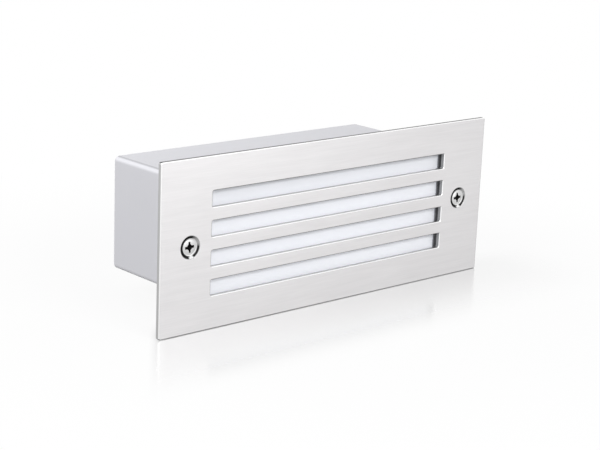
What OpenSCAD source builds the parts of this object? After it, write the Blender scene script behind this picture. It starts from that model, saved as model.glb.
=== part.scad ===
// Recessed step light: a slotted faceplate screwed to a box that sits in the wall.
// X runs along the plate, the front faces -Y, Z is up. The wall surface is the plane Y = 0.

/* [Slots] */
// Length of each light slot
slot_width = 148; // [142:1:230]
// Height of each light slot
slot_height = 8.5; // [8:0.1:16]
// Height of the bar between two slots
slot_gap = 5.2; // [4.8:0.1:12]
// Number of slots
slot_count = 4; // [4:1:7]
// Radius of the slots' corners
slot_corner = 0.8; // [0.4:0.1:2]

/* [Faceplate] */
// Thickness of the faceplate
plate_thickness = 2; // [1.5:0.1:2.6]
// Radius of the faceplate's corners
plate_corner = 1; // [0.5:0.1:3]
// How far the faceplate stands past the box at each end
plate_overlap_side = 24; // [21:0.5:50]
// How far the faceplate stands past the box above and below
plate_overlap_top = 12.5; // [9:0.5:40]

/* [Face screws] */
// Diameter of the countersink at the face
sink_diameter = 10.4; // [10:0.1:11.4]
// Diameter of the screw head
head_diameter = 9.3; // [8.4:0.1:9.5]
// Diameter of the screw thread
thread_diameter = 4.9; // [4:0.1:5.4]
// Length of the screw over its head
screw_length = 12; // [9:0.5:12.5]
// Span of the cross recess
recess_span = 5.2; // [3.6:0.1:6]
// Width of each arm of the cross recess
recess_arm = 1.2; // [0.8:0.1:1.6]
// Depth of the cross recess
recess_depth = 2; // [1:0.1:2.4]

/* [Housing] */
// Depth of the light behind the faceplate
box_depth = 67.5; // [64:0.5:110]
// Wall thickness of the box
wall = 3; // [2.4:0.1:3.4]
// Radius of the box's four long outer edges
edge_radius = 2.5; // [1.5:0.1:3.5]
// Radius of the edges round the box's back
back_edge_radius = 1.3; // [0.8:0.1:3.5]
// Box width past the slots at each end
end_margin = 4.5; // [4:0.1:8]
// Box height past the slots above and below
row_margin = 2.7; // [2.5:0.1:8]
// Distance of each screw's axis from the side of the box
ear_offset = 7.5; // [7:0.5:12]
// Radius of the rounded end of each screw ear
ear_radius = 6; // [5.5:0.1:7]
// Thickness of each screw ear
ear_thickness = 5; // [3:0.5:8]
// Radius of the tapped boss behind each ear
boss_radius = 5; // [4:0.1:5.4]
// Depth of the tapped boss from the front rim
boss_depth = 10; // [9.5:0.5:16]

/* [Seals] */
// Thickness of the foam seal between plate and wall
seal_thickness = 1.5; // [1:0.1:3]
// Width of the foam seal's band
seal_band = 4; // [3:0.1:4.5]
// Distance of the foam seal from the plate's edges
seal_inset = 2; // [1:0.1:3]
// Thickness of the gasket between plate and box
gasket_thickness = 3; // [2:0.1:5]
// Gap from the slots' ends to the gasket's opening
gasket_clearance = 0.3; // [0.2:0.1:0.6]
// Gap from the top and bottom slots to the gasket's opening
gasket_row_clearance = 1.1; // [0.4:0.1:1.2]

/* [Diffuser] */
// Thickness of the opal diffuser
diffuser_thickness = 3; // [2:0.1:5]
// Wall left beside the diffuser's rebate
rim_width = 1.3; // [1.1:0.1:1.5]

/* [Gear tray] */
// Gap between the tray and the box walls
tray_clearance = 1.5; // [1:0.1:2]
// Gap between the diffuser and the tray's rim
tray_gap = 3; // [1:0.5:6]
// Gap between the driver's lid and the back of the box
driver_clearance = 7; // [5:0.5:10]
// Thickness of the tray's sheet
sheet = 1; // [0.8:0.1:1.5]
// Distance of each pillar's axis from the box's inner faces
pillar_inset = 7.5; // [7:0.1:8]
// Radius of the pillars that carry the tray
pillar_radius = 3.2; // [2.6:0.1:3.6]

/* [Lamp board] */
// Gap from each end of the lamp board to the box's inner face
board_end_gap = 13.5; // [13:0.1:14]
// Height of the lamp board
board_height = 25; // [23:0.5:26]
// Thickness of the lamp board
board_thickness = 1.6; // [1:0.1:2]
// Number of lamps in each row
chip_columns = 9; // [6:1:11]
// Distance between lamps along a row
chip_pitch = 11; // [8:0.5:12]
// Distance between the two rows of lamps
row_pitch = 10; // [8:0.5:12]

/* [Driver] */
// Length of the driver's case
driver_length = 50; // [44:1:52]
// Width of the driver's case
driver_width = 32; // [28:1:33]
// Height of the driver's base
driver_base_height = 15; // [12:0.5:16]
// Height of the driver's lid
driver_lid_height = 6; // [4:0.5:7]
// Wall of the driver's case
driver_wall = 1.5; // [1:0.1:2]

/* [Terminal block] */
// Length of the terminal block along its wires
terminal_length = 20; // [18:1:21]
// Height of the terminal block
terminal_height = 14; // [13:0.5:16]
// Distance between the block's poles
pole_pitch = 9; // [8.8:0.1:10]

/* [Cable entry] */
// Thread diameter of the cable gland
gland_diameter = 16; // [14:0.5:18]
// Distance across the gland's flats
gland_flats = 19; // [19:0.5:21]
// Diameter of the cable that the rubber insert takes
cable_diameter = 7; // [5:0.5:8]
// Distance of the gland's axis from the box's inner end face
gland_inset = 21.5; // [20:0.5:23]

/* [Fixings] */
// Distance between the two fixing holes in the back
fixing_spacing = 60; // [50:1:62]
// Diameter of each fixing hole
fixing_diameter = 4.5; // [3:0.1:5.5]

/* [Leads] */
// Diameter of the mains leads
mains_lead = 2.2; // [1.6:0.1:2.4]
// Diameter of the lamp leads
lamp_lead = 1.2; // [0.8:0.1:1.3]

/* [Hidden] */
$fn = 48;

// Cuts run past the faces they open by this much
over = 0.5;
// Radial clearance of a screw or nut in its hole
running_clearance = 0.05;
// Clearance of a piece that drops into a pocket
drop_clearance = 0.2;

rows_height = slot_count * slot_height + (slot_count - 1) * slot_gap;
slot_pitch = slot_height + slot_gap;
box_width = slot_width + 2 * end_margin;
box_height = rows_height + 2 * row_margin;
plate_width = box_width + 2 * plate_overlap_side;
plate_height = box_height + 2 * plate_overlap_top;
inner_width = box_width - 2 * wall;
inner_height = box_height - 2 * wall;
inner_left = -inner_width / 2;
inner_right = inner_width / 2;
screw_x = box_width / 2 + ear_offset;

// Stations along Y, from the front to the back
plate_back = -seal_thickness;
plate_front = plate_back - plate_thickness;
rim_y = plate_back + gasket_thickness;
diffuser_back = rim_y + diffuser_thickness;
tray_rim = diffuser_back + tray_gap;
box_back = plate_back + box_depth;
inner_back = box_back - wall;
driver_top = inner_back - driver_clearance;
driver_split = driver_top - driver_lid_height;
tray_back = driver_split - driver_base_height;
tray_floor = tray_back - sheet;
board_front = tray_floor - board_thickness;

// Face screws: the head's cone rests in the countersink
sink_radius = sink_diameter / 2;
head_radius = head_diameter / 2;
thread_radius = thread_diameter / 2;
head_top = plate_front + sink_radius - head_radius - running_clearance;
head_cone = head_radius - thread_radius;
screw_tip = head_top + screw_length;
tip_chamfer = 0.5;
screw_hole_radius = thread_radius + running_clearance;
screw_tip_gap = 1.5;
gasket_screw_gap = 0.45;
gasket_hole_radius = sink_radius - plate_thickness + gasket_screw_gap;

// Diffuser and the rebate it drops into
rebate_width = box_width - 2 * rim_width;
rebate_height = box_height - 2 * rim_width;
rebate_radius = edge_radius - rim_width;
diffuser_width = rebate_width - 2 * drop_clearance;
diffuser_height = rebate_height - 2 * drop_clearance;
diffuser_radius = rebate_radius - drop_clearance;
cavity_radius = edge_radius / 2;

// Small screws inside the box
small_thread_radius = 1.45;
small_hole_radius = small_thread_radius + running_clearance;
small_head_radius = 2.6;
small_head_height = 2;
small_slot_width = 0.8;
small_slot_depth = 1;

// Tray and its pillars
tray_width = inner_width - 2 * tray_clearance;
tray_height = inner_height - 2 * tray_clearance;
pillar_x = inner_right - pillar_inset;
pillar_z = inner_height / 2 - pillar_inset;
pillar_hole_depth = 10;
tray_screw_length = 8;

// Lamp board
board_width = inner_width - 2 * board_end_gap;
board_hole_inset = 3.2;
board_screw_x = board_width / 2 - board_hole_inset;
board_screw_z = board_height / 2 - board_hole_inset;
board_screw_length = 5;
chip_width = 3.5;
chip_thickness = 0.7;
chip_height = 2.8;
connector_width = 7;
connector_thickness = 3.2;
connector_height = 6;
board_left = -board_width / 2;
connector_inset = 2;
connector_left = board_left + connector_inset;

// Grommet in the tray, beside the board's left end
grommet_offset = 4;
grommet_x = board_left - grommet_offset;
grommet_flange_radius = 3.5;
grommet_waist_radius = 2.6;
grommet_bore_radius = 1.8;
grommet_lip = 1.2;

// Along the box: a pillar and an ear, the driver, the earth point, the terminal block, the gland
driver_ear_length = 6;
earth_boss_radius = 4;
driver_end_least = pillar_inset + pillar_radius + driver_ear_length;
earth_room = 2 * earth_boss_radius;
taken_length = driver_end_least + driver_length + earth_room + terminal_length + gland_inset;
spare_length = inner_width - taken_length;
// How the spare length is shared between the three gaps
spare_shares = [44, 30, 100] / 174;
driver_end_gap = driver_end_least + spare_length * spare_shares[0];
earth_gap = earth_room + spare_length * spare_shares[1];
terminal_gland_gap = spare_length * spare_shares[2];

// Driver, held on the back of the tray by two corner ears
driver_left = inner_left + driver_end_gap;
driver_right = driver_left + driver_length;
driver_ear_width = 6;
driver_ear_thickness = 2;
driver_ear_inset = 1.2;
driver_ear_z = driver_width / 2 - driver_ear_inset;
driver_screw_length = driver_ear_thickness + sheet;
driver_lip_depth = 2;
driver_lip_width = 0.8;
driver_post_radius = 1.5;
driver_post_height = 3.5;
driver_board_y = tray_back + driver_wall + driver_post_height;
driver_board_back = driver_board_y + board_thickness;
driver_part_gap = 1.9;
transformer_width = 14;
transformer_height = driver_top - driver_wall - driver_part_gap - driver_board_back;
transformer_depth = 14;
transformer_x = driver_left + driver_length / 2;
core_limb = 3;
capacitor_radii = [4, 3.2, 2.5];
// How much shorter each capacitor is than the transformer
capacitor_drops = [0, 1, 3];
// Which side of the transformer each capacitor stands on, along the board and across it
capacitor_sides = [[1, 0], [-1, 1], [-1, -1]];

// Leads
lead_clearance = 0.1;
lead_socket = 3;
mains_radius = mains_lead / 2;
mains_bend = 4;
mains_y = driver_board_back + mains_radius + lead_clearance;
lamp_radius = lamp_lead / 2;
lamp_bend = 2.5;
lamp_spread = 0.85;
lamp_inner_y = driver_board_back + lamp_radius + lead_clearance;
lamp_outer_y = board_front - connector_thickness / 2;

// Terminal block, held on the back of the tray
gland_x = inner_right - gland_inset;
terminal_right = gland_x - terminal_gland_gap;
terminal_left = terminal_right - terminal_length;
terminal_back = tray_back + terminal_height;
pole_count = 3;
clamp_size = 4.6;
clamp_end_gap = 1;
clamp_screw_inset = 4.5;
clamp_screw_radius = 1.4;
clamp_screw_length = 3.5;
clamp_bore_radius = 1.3;
terminal_flank = 4.5;
outer_pole_z = (pole_count - 1) * pole_pitch / 2;
terminal_half = outer_pole_z + terminal_flank;

// Earth point on the inside of the box's back wall
earth_boss_height = 5;
// The earth point's distance from the terminal block, of the gap beside it
earth_share = 3 / 7;
earth_x = terminal_left - earth_share * earth_gap;
earth_z = -pillar_z;
earth_thread_radius = 1.95;
earth_head_radius = 3.5;
earth_head_height = 2.4;
earth_screw_length = 7.6;
earth_hole_rest = 1;
earth_washer_radius = 3.8;
earth_sheet = 0.8;
earth_face = inner_back - earth_boss_height;
earth_tag_radius = 4;
earth_barrel_radius = 1.8;
earth_barrel_length = 6;
earth_barrel_y = earth_face - earth_barrel_radius;
earth_barrel_lap = 1;
earth_barrel_start = earth_z + earth_tag_radius + earth_barrel_length - earth_barrel_lap;

// Cable gland in the back wall
gland_radius = gland_diameter / 2;
gland_thread_radius = gland_radius - running_clearance;
hex_radius = gland_flats / 2 / cos(30);
gland_hole_radius = gland_radius + lead_clearance;
gland_seal = 1;
gland_flange = 4;
gland_flange_y = box_back + gland_seal;
gland_neck_y = gland_flange_y + gland_flange;
gland_neck_length = 8;
gland_neck_end = gland_neck_y + gland_neck_length;
locknut_thickness = 4;
gland_inner_reach = 2;
gland_inner_end = inner_back - locknut_thickness - gland_inner_reach;
cable_radius = cable_diameter / 2;
insert_length = 8;
insert_stand = 2;
insert_end = gland_neck_end + insert_stand;
insert_start = insert_end - insert_length;
insert_wall = 1.6;
insert_radius = cable_radius + insert_wall;
gland_seat_radius = cable_radius + insert_wall / 2;
nut_gap = 0.3;
nut_start = gland_neck_y + nut_gap;
nut_hex_end = gland_neck_end + nut_gap;
nut_chamber_end = insert_end + nut_gap;
nut_end_wall = 3;
nut_end = nut_chamber_end + nut_end_wall;
nut_mouth_radius = cable_radius + insert_wall / 2;
nut_end_radius = gland_radius - insert_wall;

// A flat outline in X and Z, thickened from one Y station to another
module slab(from_y, to_y) {
    translate([0, to_y, 0])
        rotate([90, 0, 0])
            linear_extrude(to_y - from_y)
                children();
}

// A round bar along Y
module rod(x, z, from_y, to_y, r) {
    translate([x, to_y, z])
        rotate([90, 0, 0])
            cylinder(h = to_y - from_y, r = r);
}

// A cone along Y
module taper(x, z, from_y, to_y, from_r, to_r) {
    translate([x, to_y, z])
        rotate([90, 0, 0])
            cylinder(h = to_y - from_y, r1 = to_r, r2 = from_r);
}

// A hexagonal bar along Y
module hex_bar(x, z, from_y, to_y, r) {
    translate([x, to_y, z])
        rotate([90, 0, 0])
            cylinder(h = to_y - from_y, r = r, $fn = 6);
}

// A box between two corners
module block(from, to) {
    translate(from)
        cube(to - from);
}

// A rectangle with rounded corners, about the origin
module rounded_rect(w, h, r) {
    square([w - 2 * r, h], center = true);
    square([w, h - 2 * r], center = true);
    for (x = [-1, 1], y = [-1, 1])
        translate([x * (w / 2 - r), y * (h / 2 - r)])
            circle(r = r);
}

// The outline of the box seen along its length: straight sides, rounded back corners
module tub_outline(w, depth, r) {
    translate([-w / 2, 0])
        square([w, depth - r]);
    translate([r - w / 2, 0])
        square([w - 2 * r, depth]);
    for (x = [-1, 1])
        translate([x * (w / 2 - r), depth - r])
            circle(r = r);
}

// A place at each corner of a rectangle in X and Z
module at_corners(x, z) {
    for (i = [-1, 1], k = [-1, 1])
        translate([i * x, 0, k * z])
            children();
}

// The cut for a screwdriver's blade in the top of a round head
module blade_slot(top_y, r) {
    block(
        [-r - over, top_y - over, -small_slot_width / 2],
        [r + over, top_y + small_slot_depth, small_slot_width / 2]
    );
}

// A small slotted screw driven along +Y, with its head in front of seat_y
module small_screw(seat_y, length) {
    color("silver")
        difference() {
            union() {
                rod(0, 0, seat_y - small_head_height, seat_y, small_head_radius);
                rod(0, 0, seat_y, seat_y + length, small_thread_radius);
            }
            blade_slot(seat_y - small_head_height, small_head_radius);
        }
}

// The same screw driven along -Y, with its head behind seat_y
module small_screw_from_back(seat_y, length) {
    translate([0, 2 * seat_y, 0])
        mirror([0, 1, 0])
            small_screw(seat_y, length);
}

// A lead along local +Z: each step is [straight run, roll about the run, bend angle]
module lead(steps, r, bend, i = 0) {
    if (i < len(steps)) {
        run = steps[i][0];
        roll = steps[i][1];
        turn = steps[i][2];
        cylinder(h = run, r = r);
        translate([0, 0, run])
            rotate([0, 0, roll]) {
                if (turn > 0)
                    translate([bend, 0, 0])
                        rotate([90, 0, 180])
                            rotate_extrude(angle = turn)
                                translate([bend, 0])
                                    circle(r = r);
                translate([bend, 0, 0])
                    rotate([0, turn, 0])
                        translate([-bend, 0, 0])
                            lead(steps, r, bend, i + 1);
            }
    }
}

module faceplate() {
    color("gainsboro")
        difference() {
            slab(plate_front, plate_back)
                rounded_rect(plate_width, plate_height, plate_corner);
            for (i = [0 : slot_count - 1])
                translate([0, 0, (i - (slot_count - 1) / 2) * slot_pitch])
                    slab(plate_front - over, plate_back + over)
                        rounded_rect(slot_width, slot_height, slot_corner);
            for (x = [-screw_x, screw_x]) {
                taper(
                    x, 0, plate_front - over, plate_back + over,
                    sink_radius + over, sink_radius - plate_thickness - over
                );
                rod(x, 0, plate_front - over, plate_back + over, screw_hole_radius);
            }
        }
}

module face_screw(x) {
    color("silver")
        difference() {
            union() {
                taper(x, 0, head_top, head_top + head_cone, head_radius, thread_radius);
                rod(x, 0, head_top + head_cone, screw_tip - tip_chamfer, thread_radius);
                taper(x, 0, screw_tip - tip_chamfer, screw_tip, thread_radius, thread_radius - tip_chamfer);
            }
            translate([x, head_top, 0])
                for (turn = [0, 90])
                    rotate([0, turn, 0])
                        block(
                            [-recess_span / 2, -over, -recess_arm / 2],
                            [recess_span / 2, recess_depth, recess_arm / 2]
                        );
            taper(x, 0, head_top - over, head_top + recess_depth, recess_span / 3, recess_arm / 3);
        }
}

module face_screw_left() {
    face_screw(-screw_x);
}

module face_screw_right() {
    face_screw(screw_x);
}

module wall_seal() {
    outer_w = plate_width - 2 * seal_inset;
    outer_h = plate_height - 2 * seal_inset;
    color("dimgray")
        slab(plate_back, 0)
            difference() {
                square([outer_w, outer_h], center = true);
                square([outer_w - 2 * seal_band, outer_h - 2 * seal_band], center = true);
            }
}

// The outline of one end's screw ear, from inside the box's wall to past the screw
module ear_outline() {
    for (side = [-1, 1]) {
        translate([side * screw_x, 0])
            circle(r = ear_radius);
        translate([side * (screw_x - ear_offset / 2 - rim_width / 4), 0])
            square([ear_offset + rim_width / 2, 2 * ear_radius], center = true);
    }
}

module front_gasket() {
    color("black")
        slab(plate_back, rim_y)
            difference() {
                union() {
                    rounded_rect(box_width, box_height, edge_radius);
                    ear_outline();
                }
                square(
                    [slot_width + 2 * gasket_clearance, rows_height + 2 * gasket_row_clearance],
                    center = true
                );
                for (x = [-screw_x, screw_x])
                    translate([x, 0])
                        circle(r = gasket_hole_radius);
            }
}

module diffuser() {
    color("white")
        slab(rim_y, diffuser_back)
            rounded_rect(diffuser_width, diffuser_height, diffuser_radius);
}

// The outside of the box, with its back edges rounded
module box_block() {
    depth = box_back - rim_y;
    intersection() {
        slab(rim_y, box_back)
            rounded_rect(box_width, box_height, edge_radius);
        translate([0, rim_y, -box_height / 2])
            linear_extrude(box_height)
                tub_outline(box_width, depth, back_edge_radius);
        translate([-box_width / 2, rim_y, 0])
            rotate([90, 0, 90])
                linear_extrude(box_width)
                    rotate(-90)
                        mirror([1, 0])
                            tub_outline(box_height, depth, back_edge_radius);
    }
}

module housing() {
    color("lightgray")
        difference() {
            union() {
                difference() {
                    box_block();
                    slab(rim_y - over, inner_back)
                        rounded_rect(inner_width, inner_height, cavity_radius);
                    slab(rim_y - over, diffuser_back)
                        rounded_rect(rebate_width, rebate_height, rebate_radius);
                }
                slab(rim_y, rim_y + ear_thickness)
                    ear_outline();
                for (x = [-screw_x, screw_x])
                    rod(x, 0, rim_y, rim_y + boss_depth, boss_radius);
                for (x = [-pillar_x, pillar_x], z = [-pillar_z, pillar_z])
                    rod(x, z, tray_back, inner_back + wall / 2, pillar_radius);
                rod(earth_x, earth_z, earth_face, inner_back + wall / 2, earth_boss_radius);
            }
            for (x = [-screw_x, screw_x])
                rod(x, 0, rim_y - over, screw_tip + screw_tip_gap, screw_hole_radius);
            for (x = [-pillar_x, pillar_x], z = [-pillar_z, pillar_z])
                rod(x, z, tray_back - over, tray_back + pillar_hole_depth, small_hole_radius);
            rod(
                earth_x, earth_z, earth_face - over, box_back - earth_hole_rest,
                earth_thread_radius + running_clearance
            );
            for (x = [-fixing_spacing / 2, fixing_spacing / 2])
                rod(x, 0, inner_back - over, box_back + over, fixing_diameter / 2);
            rod(gland_x, 0, inner_back - over, box_back + over, gland_hole_radius);
        }
}

module gear_tray() {
    color("white")
        difference() {
            block(
                [-tray_width / 2, tray_rim, -tray_height / 2],
                [tray_width / 2, tray_back, tray_height / 2]
            );
            block(
                [sheet - tray_width / 2, tray_rim - over, sheet - tray_height / 2],
                [tray_width / 2 - sheet, tray_floor, tray_height / 2 - sheet]
            );
            at_corners(pillar_x, pillar_z)
                rod(0, 0, tray_floor - over, tray_back + over, small_hole_radius);
            at_corners(board_screw_x, board_screw_z)
                rod(0, 0, tray_floor - over, tray_back + over, small_hole_radius);
            at_driver_ears()
                rod(0, 0, tray_floor - over, tray_back + over, small_hole_radius);
            at_terminal_fixings()
                rod(0, 0, tray_floor - over, tray_back + over, small_hole_radius);
            rod(
                grommet_x, 0, tray_floor - over, tray_back + over,
                grommet_waist_radius + running_clearance
            );
        }
}

module gear_tray_screws() {
    at_corners(pillar_x, pillar_z)
        small_screw(tray_floor, tray_screw_length);
}

module tray_grommet() {
    color("black")
        difference() {
            union() {
                rod(grommet_x, 0, tray_floor - grommet_lip, tray_floor, grommet_flange_radius);
                rod(grommet_x, 0, tray_floor, tray_back, grommet_waist_radius);
                rod(grommet_x, 0, tray_back, tray_back + grommet_lip, grommet_flange_radius);
            }
            rod(
                grommet_x, 0, tray_floor - grommet_lip - over, tray_back + grommet_lip + over,
                grommet_bore_radius
            );
        }
}

module lamp_board() {
    color("whitesmoke")
        difference() {
            block(
                [board_left, board_front, -board_height / 2],
                [-board_left, tray_floor, board_height / 2]
            );
            at_corners(board_screw_x, board_screw_z)
                rod(0, 0, board_front - over, tray_floor + over, small_hole_radius);
        }
}

module lamp_chips() {
    color("khaki")
        for (i = [0 : chip_columns - 1], k = [-1, 1]) {
            x = (i - (chip_columns - 1) / 2) * chip_pitch;
            z = k * row_pitch / 2;
            block(
                [x - chip_width / 2, board_front - chip_thickness, z - chip_height / 2],
                [x + chip_width / 2, board_front, z + chip_height / 2]
            );
        }
}

module lamp_connector() {
    color("ivory")
        difference() {
            block(
                [connector_left, board_front - connector_thickness, -connector_height / 2],
                [connector_left + connector_width, board_front, connector_height / 2]
            );
            for (z = [-lamp_spread, lamp_spread])
                translate([connector_left - over, lamp_outer_y, z])
                    rotate([0, 90, 0])
                        cylinder(h = lead_socket + over, r = lamp_radius + lead_clearance);
        }
}

module lamp_board_screws() {
    at_corners(board_screw_x, board_screw_z)
        small_screw(board_front, board_screw_length);
}

module at_driver_ears() {
    translate([driver_left - driver_ear_length / 2, 0, driver_ear_z])
        children();
    translate([driver_right + driver_ear_length / 2, 0, -driver_ear_z])
        children();
}

module driver_base() {
    half = driver_width / 2;
    color("whitesmoke")
        difference() {
            union() {
                difference() {
                    block([driver_left, tray_back, -half], [driver_right, driver_split, half]);
                    block(
                        [driver_left + driver_wall, tray_back + driver_wall, driver_wall - half],
                        [driver_right - driver_wall, driver_split + over, half - driver_wall]
                    );
                }
                at_driver_ears()
                    block(
                        [-driver_ear_length / 2, tray_back, -driver_ear_width / 2],
                        [driver_ear_length / 2, tray_back + driver_ear_thickness, driver_ear_width / 2]
                    );
                translate([transformer_x, 0, 0])
                    at_corners(
                        driver_length / 2 - driver_wall - driver_post_radius,
                        half - driver_wall - driver_post_radius
                    )
                        rod(0, 0, tray_back + driver_wall / 2, driver_board_y, driver_post_radius);
            }
            at_driver_ears()
                rod(0, 0, tray_back - over, tray_back + driver_ear_thickness + over, small_hole_radius);
            for (z = [-outer_pole_z, outer_pole_z])
                translate([driver_right - driver_wall - over, mains_y, z])
                    rotate([0, 90, 0])
                        cylinder(h = driver_wall + 2 * over, r = mains_radius + lead_clearance);
            for (z = [-lamp_spread, lamp_spread])
                translate([driver_left - over, lamp_inner_y, z])
                    rotate([0, 90, 0])
                        cylinder(h = driver_wall + 2 * over, r = lamp_radius + lead_clearance);
        }
}

module driver_lid() {
    half = driver_width / 2;
    lip_out = driver_wall + lead_clearance;
    lip_in = lip_out + driver_lip_width;
    color("whitesmoke")
        difference() {
            union() {
                block([driver_left, driver_split, -half], [driver_right, driver_top, half]);
                block(
                    [driver_left + lip_out, driver_split - driver_lip_depth, lip_out - half],
                    [driver_right - lip_out, driver_split, half - lip_out]
                );
            }
            block(
                [driver_left + lip_in, driver_split - driver_lip_depth - over, lip_in - half],
                [driver_right - lip_in, driver_top - driver_wall, half - lip_in]
            );
        }
}

module driver_board() {
    inset = driver_wall + drop_clearance;
    half = driver_width / 2 - inset;
    color("darkgreen")
        block(
            [driver_left + inset, driver_board_y, -half],
            [driver_right - inset, driver_board_back, half]
        );
}

module driver_transformer() {
    half_w = transformer_width / 2;
    half_d = transformer_depth / 2;
    color("goldenrod")
        translate([transformer_x, driver_board_back, 0]) {
            difference() {
                block([-half_w, 0, -half_d], [half_w, transformer_height, half_d]);
                for (z = [-1, 1])
                    translate([0, 0, z * (half_d - core_limb / 2)])
                        block(
                            [core_limb - half_w, core_limb, -core_limb],
                            [half_w - core_limb, transformer_height + over, core_limb]
                        );
            }
        }
}

module driver_capacitors() {
    color("dimgray")
        for (i = [0 : len(capacitor_radii) - 1]) {
            r = capacitor_radii[i];
            x = transformer_x + capacitor_sides[i][0] * (transformer_width / 2 + r + core_limb);
            z = capacitor_sides[i][1] * (r + core_limb);
            rod(x, z, driver_board_back, driver_board_back + transformer_height - capacitor_drops[i], r);
        }
}

module driver_screws() {
    at_driver_ears()
        small_screw_from_back(tray_back + driver_ear_thickness, driver_screw_length);
}

// One child for each pole of the terminal block
module at_poles() {
    for (i = [0 : pole_count - 1])
        translate([0, 0, (i - (pole_count - 1) / 2) * pole_pitch])
            children();
}

// A place between each two poles
module at_terminal_fixings() {
    for (i = [0 : pole_count - 2])
        translate([
            terminal_left + terminal_length / 2,
            0,
            (i - (pole_count - 2) / 2) * pole_pitch
        ])
            children();
}

module terminal_block() {
    cavity = clamp_size + 2 * lead_clearance;
    color("ivory")
        difference() {
            block(
                [terminal_left, tray_back, -terminal_half],
                [terminal_right, terminal_back, terminal_half]
            );
            at_poles() {
                block(
                    [terminal_left + clamp_end_gap, mains_y - cavity / 2, -cavity / 2],
                    [terminal_right - clamp_end_gap, mains_y + cavity / 2, cavity / 2]
                );
                translate([terminal_left - over, mains_y, 0])
                    rotate([0, 90, 0])
                        cylinder(h = terminal_length + 2 * over, r = mains_radius + 2 * drop_clearance);
                for (x = [terminal_left + clamp_screw_inset, terminal_right - clamp_screw_inset])
                    rod(x, 0, mains_y, terminal_back + over, clamp_screw_radius + drop_clearance);
            }
            at_terminal_fixings() {
                rod(0, 0, tray_back - over, terminal_back + over, small_hole_radius);
                rod(
                    0, 0, terminal_back - small_head_height, terminal_back + over,
                    small_head_radius + lead_clearance
                );
            }
        }
}

module terminal_clamps() {
    ends = clamp_end_gap + lead_clearance;
    color("goldenrod")
        at_poles()
            difference() {
                block(
                    [terminal_left + ends, mains_y - clamp_size / 2, -clamp_size / 2],
                    [terminal_right - ends, mains_y + clamp_size / 2, clamp_size / 2]
                );
                translate([terminal_left, mains_y, 0])
                    rotate([0, 90, 0])
                        cylinder(h = terminal_length, r = clamp_bore_radius);
                for (x = [terminal_left + clamp_screw_inset, terminal_right - clamp_screw_inset])
                    rod(x, 0, mains_y, mains_y + clamp_size, clamp_screw_radius + running_clearance);
            }
}

module terminal_clamp_screws() {
    start = mains_y + mains_radius + running_clearance;
    end = start + clamp_screw_length;
    color("silver")
        at_poles()
            for (x = [terminal_left + clamp_screw_inset, terminal_right - clamp_screw_inset])
                difference() {
                    rod(x, 0, start, end, clamp_screw_radius);
                    block(
                        [x - clamp_screw_radius - over, end - small_slot_depth, -small_slot_width / 4],
                        [x + clamp_screw_radius + over, end + over, small_slot_width / 4]
                    );
                }
}

module terminal_fixing_screws() {
    seat = terminal_back - small_head_height;
    at_terminal_fixings()
        small_screw_from_back(seat, seat - tray_floor);
}

module earth_screw() {
    seat = earth_face - 2 * earth_sheet;
    color("goldenrod")
        difference() {
            union() {
                rod(earth_x, earth_z, seat - earth_head_height, seat, earth_head_radius);
                rod(earth_x, earth_z, seat, seat + earth_screw_length, earth_thread_radius);
            }
            translate([earth_x, 0, earth_z])
                blade_slot(seat - earth_head_height, earth_head_radius);
        }
}

module earth_washer() {
    color("silver")
        difference() {
            rod(
                earth_x, earth_z, earth_face - 2 * earth_sheet, earth_face - earth_sheet,
                earth_washer_radius
            );
            rod(
                earth_x, earth_z, earth_face - 2 * earth_sheet - over, earth_face,
                earth_thread_radius + lead_clearance
            );
        }
}

module earth_tag() {
    color("goldenrod")
        difference() {
            union() {
                rod(earth_x, earth_z, earth_face - earth_sheet, earth_face, earth_tag_radius);
                block(
                    [earth_x - earth_barrel_radius, earth_face - earth_sheet, earth_z],
                    [earth_x + earth_barrel_radius, earth_face, earth_barrel_start]
                );
                translate([earth_x, earth_barrel_y, earth_barrel_start - earth_barrel_length])
                    cylinder(h = earth_barrel_length, r = earth_barrel_radius);
            }
            rod(
                earth_x, earth_z, earth_face - earth_barrel_radius * 2 - over, earth_face + over,
                earth_thread_radius + lead_clearance
            );
            rod(
                earth_x, earth_z, earth_face - earth_barrel_radius * 2 - over, earth_face - earth_sheet,
                earth_washer_radius + lead_clearance
            );
            translate([earth_x, earth_barrel_y, earth_barrel_start - earth_barrel_length - over])
                cylinder(h = earth_barrel_length + 2 * over, r = mains_radius + lead_clearance);
        }
}

// A straight mains lead from an outer pole of the terminal block into the driver
module mains_jumper(side) {
    color(side > 0 ? "saddlebrown" : "royalblue")
        translate([driver_right - lead_socket, mains_y, side * outer_pole_z])
            rotate([0, 90, 0])
                cylinder(h = terminal_left - driver_right + 2 * lead_socket, r = mains_radius);
}

module live_lead() {
    mains_jumper(1);
}

module neutral_lead() {
    mains_jumper(-1);
}

module earth_lead() {
    out = terminal_left + lead_socket - earth_x - mains_bend;
    back = earth_barrel_y - mains_y - 2 * mains_bend;
    down = -mains_bend - (earth_barrel_start - earth_barrel_length / 2);
    color("yellowgreen")
        translate([terminal_left + lead_socket, mains_y, 0])
            rotate([0, -90, 0])
                lead([[out, 90, 90], [back, 90, 90], [down, 0, 0]], mains_radius, mains_bend);
}

module lamp_leads() {
    start_x = driver_left + driver_wall + lead_socket;
    out = start_x - grommet_x - lamp_bend;
    forward = lamp_inner_y - lamp_outer_y - 2 * lamp_bend;
    along = connector_left + lead_socket - lead_clearance - grommet_x - lamp_bend;
    for (z = [-lamp_spread, lamp_spread])
        color(z > 0 ? "red" : "black")
            translate([start_x, lamp_inner_y, z])
                rotate([0, -90, 0])
                    lead([[out, -90, 90], [forward, 0, 90], [along, 0, 0]], lamp_radius, lamp_bend);
}

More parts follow.
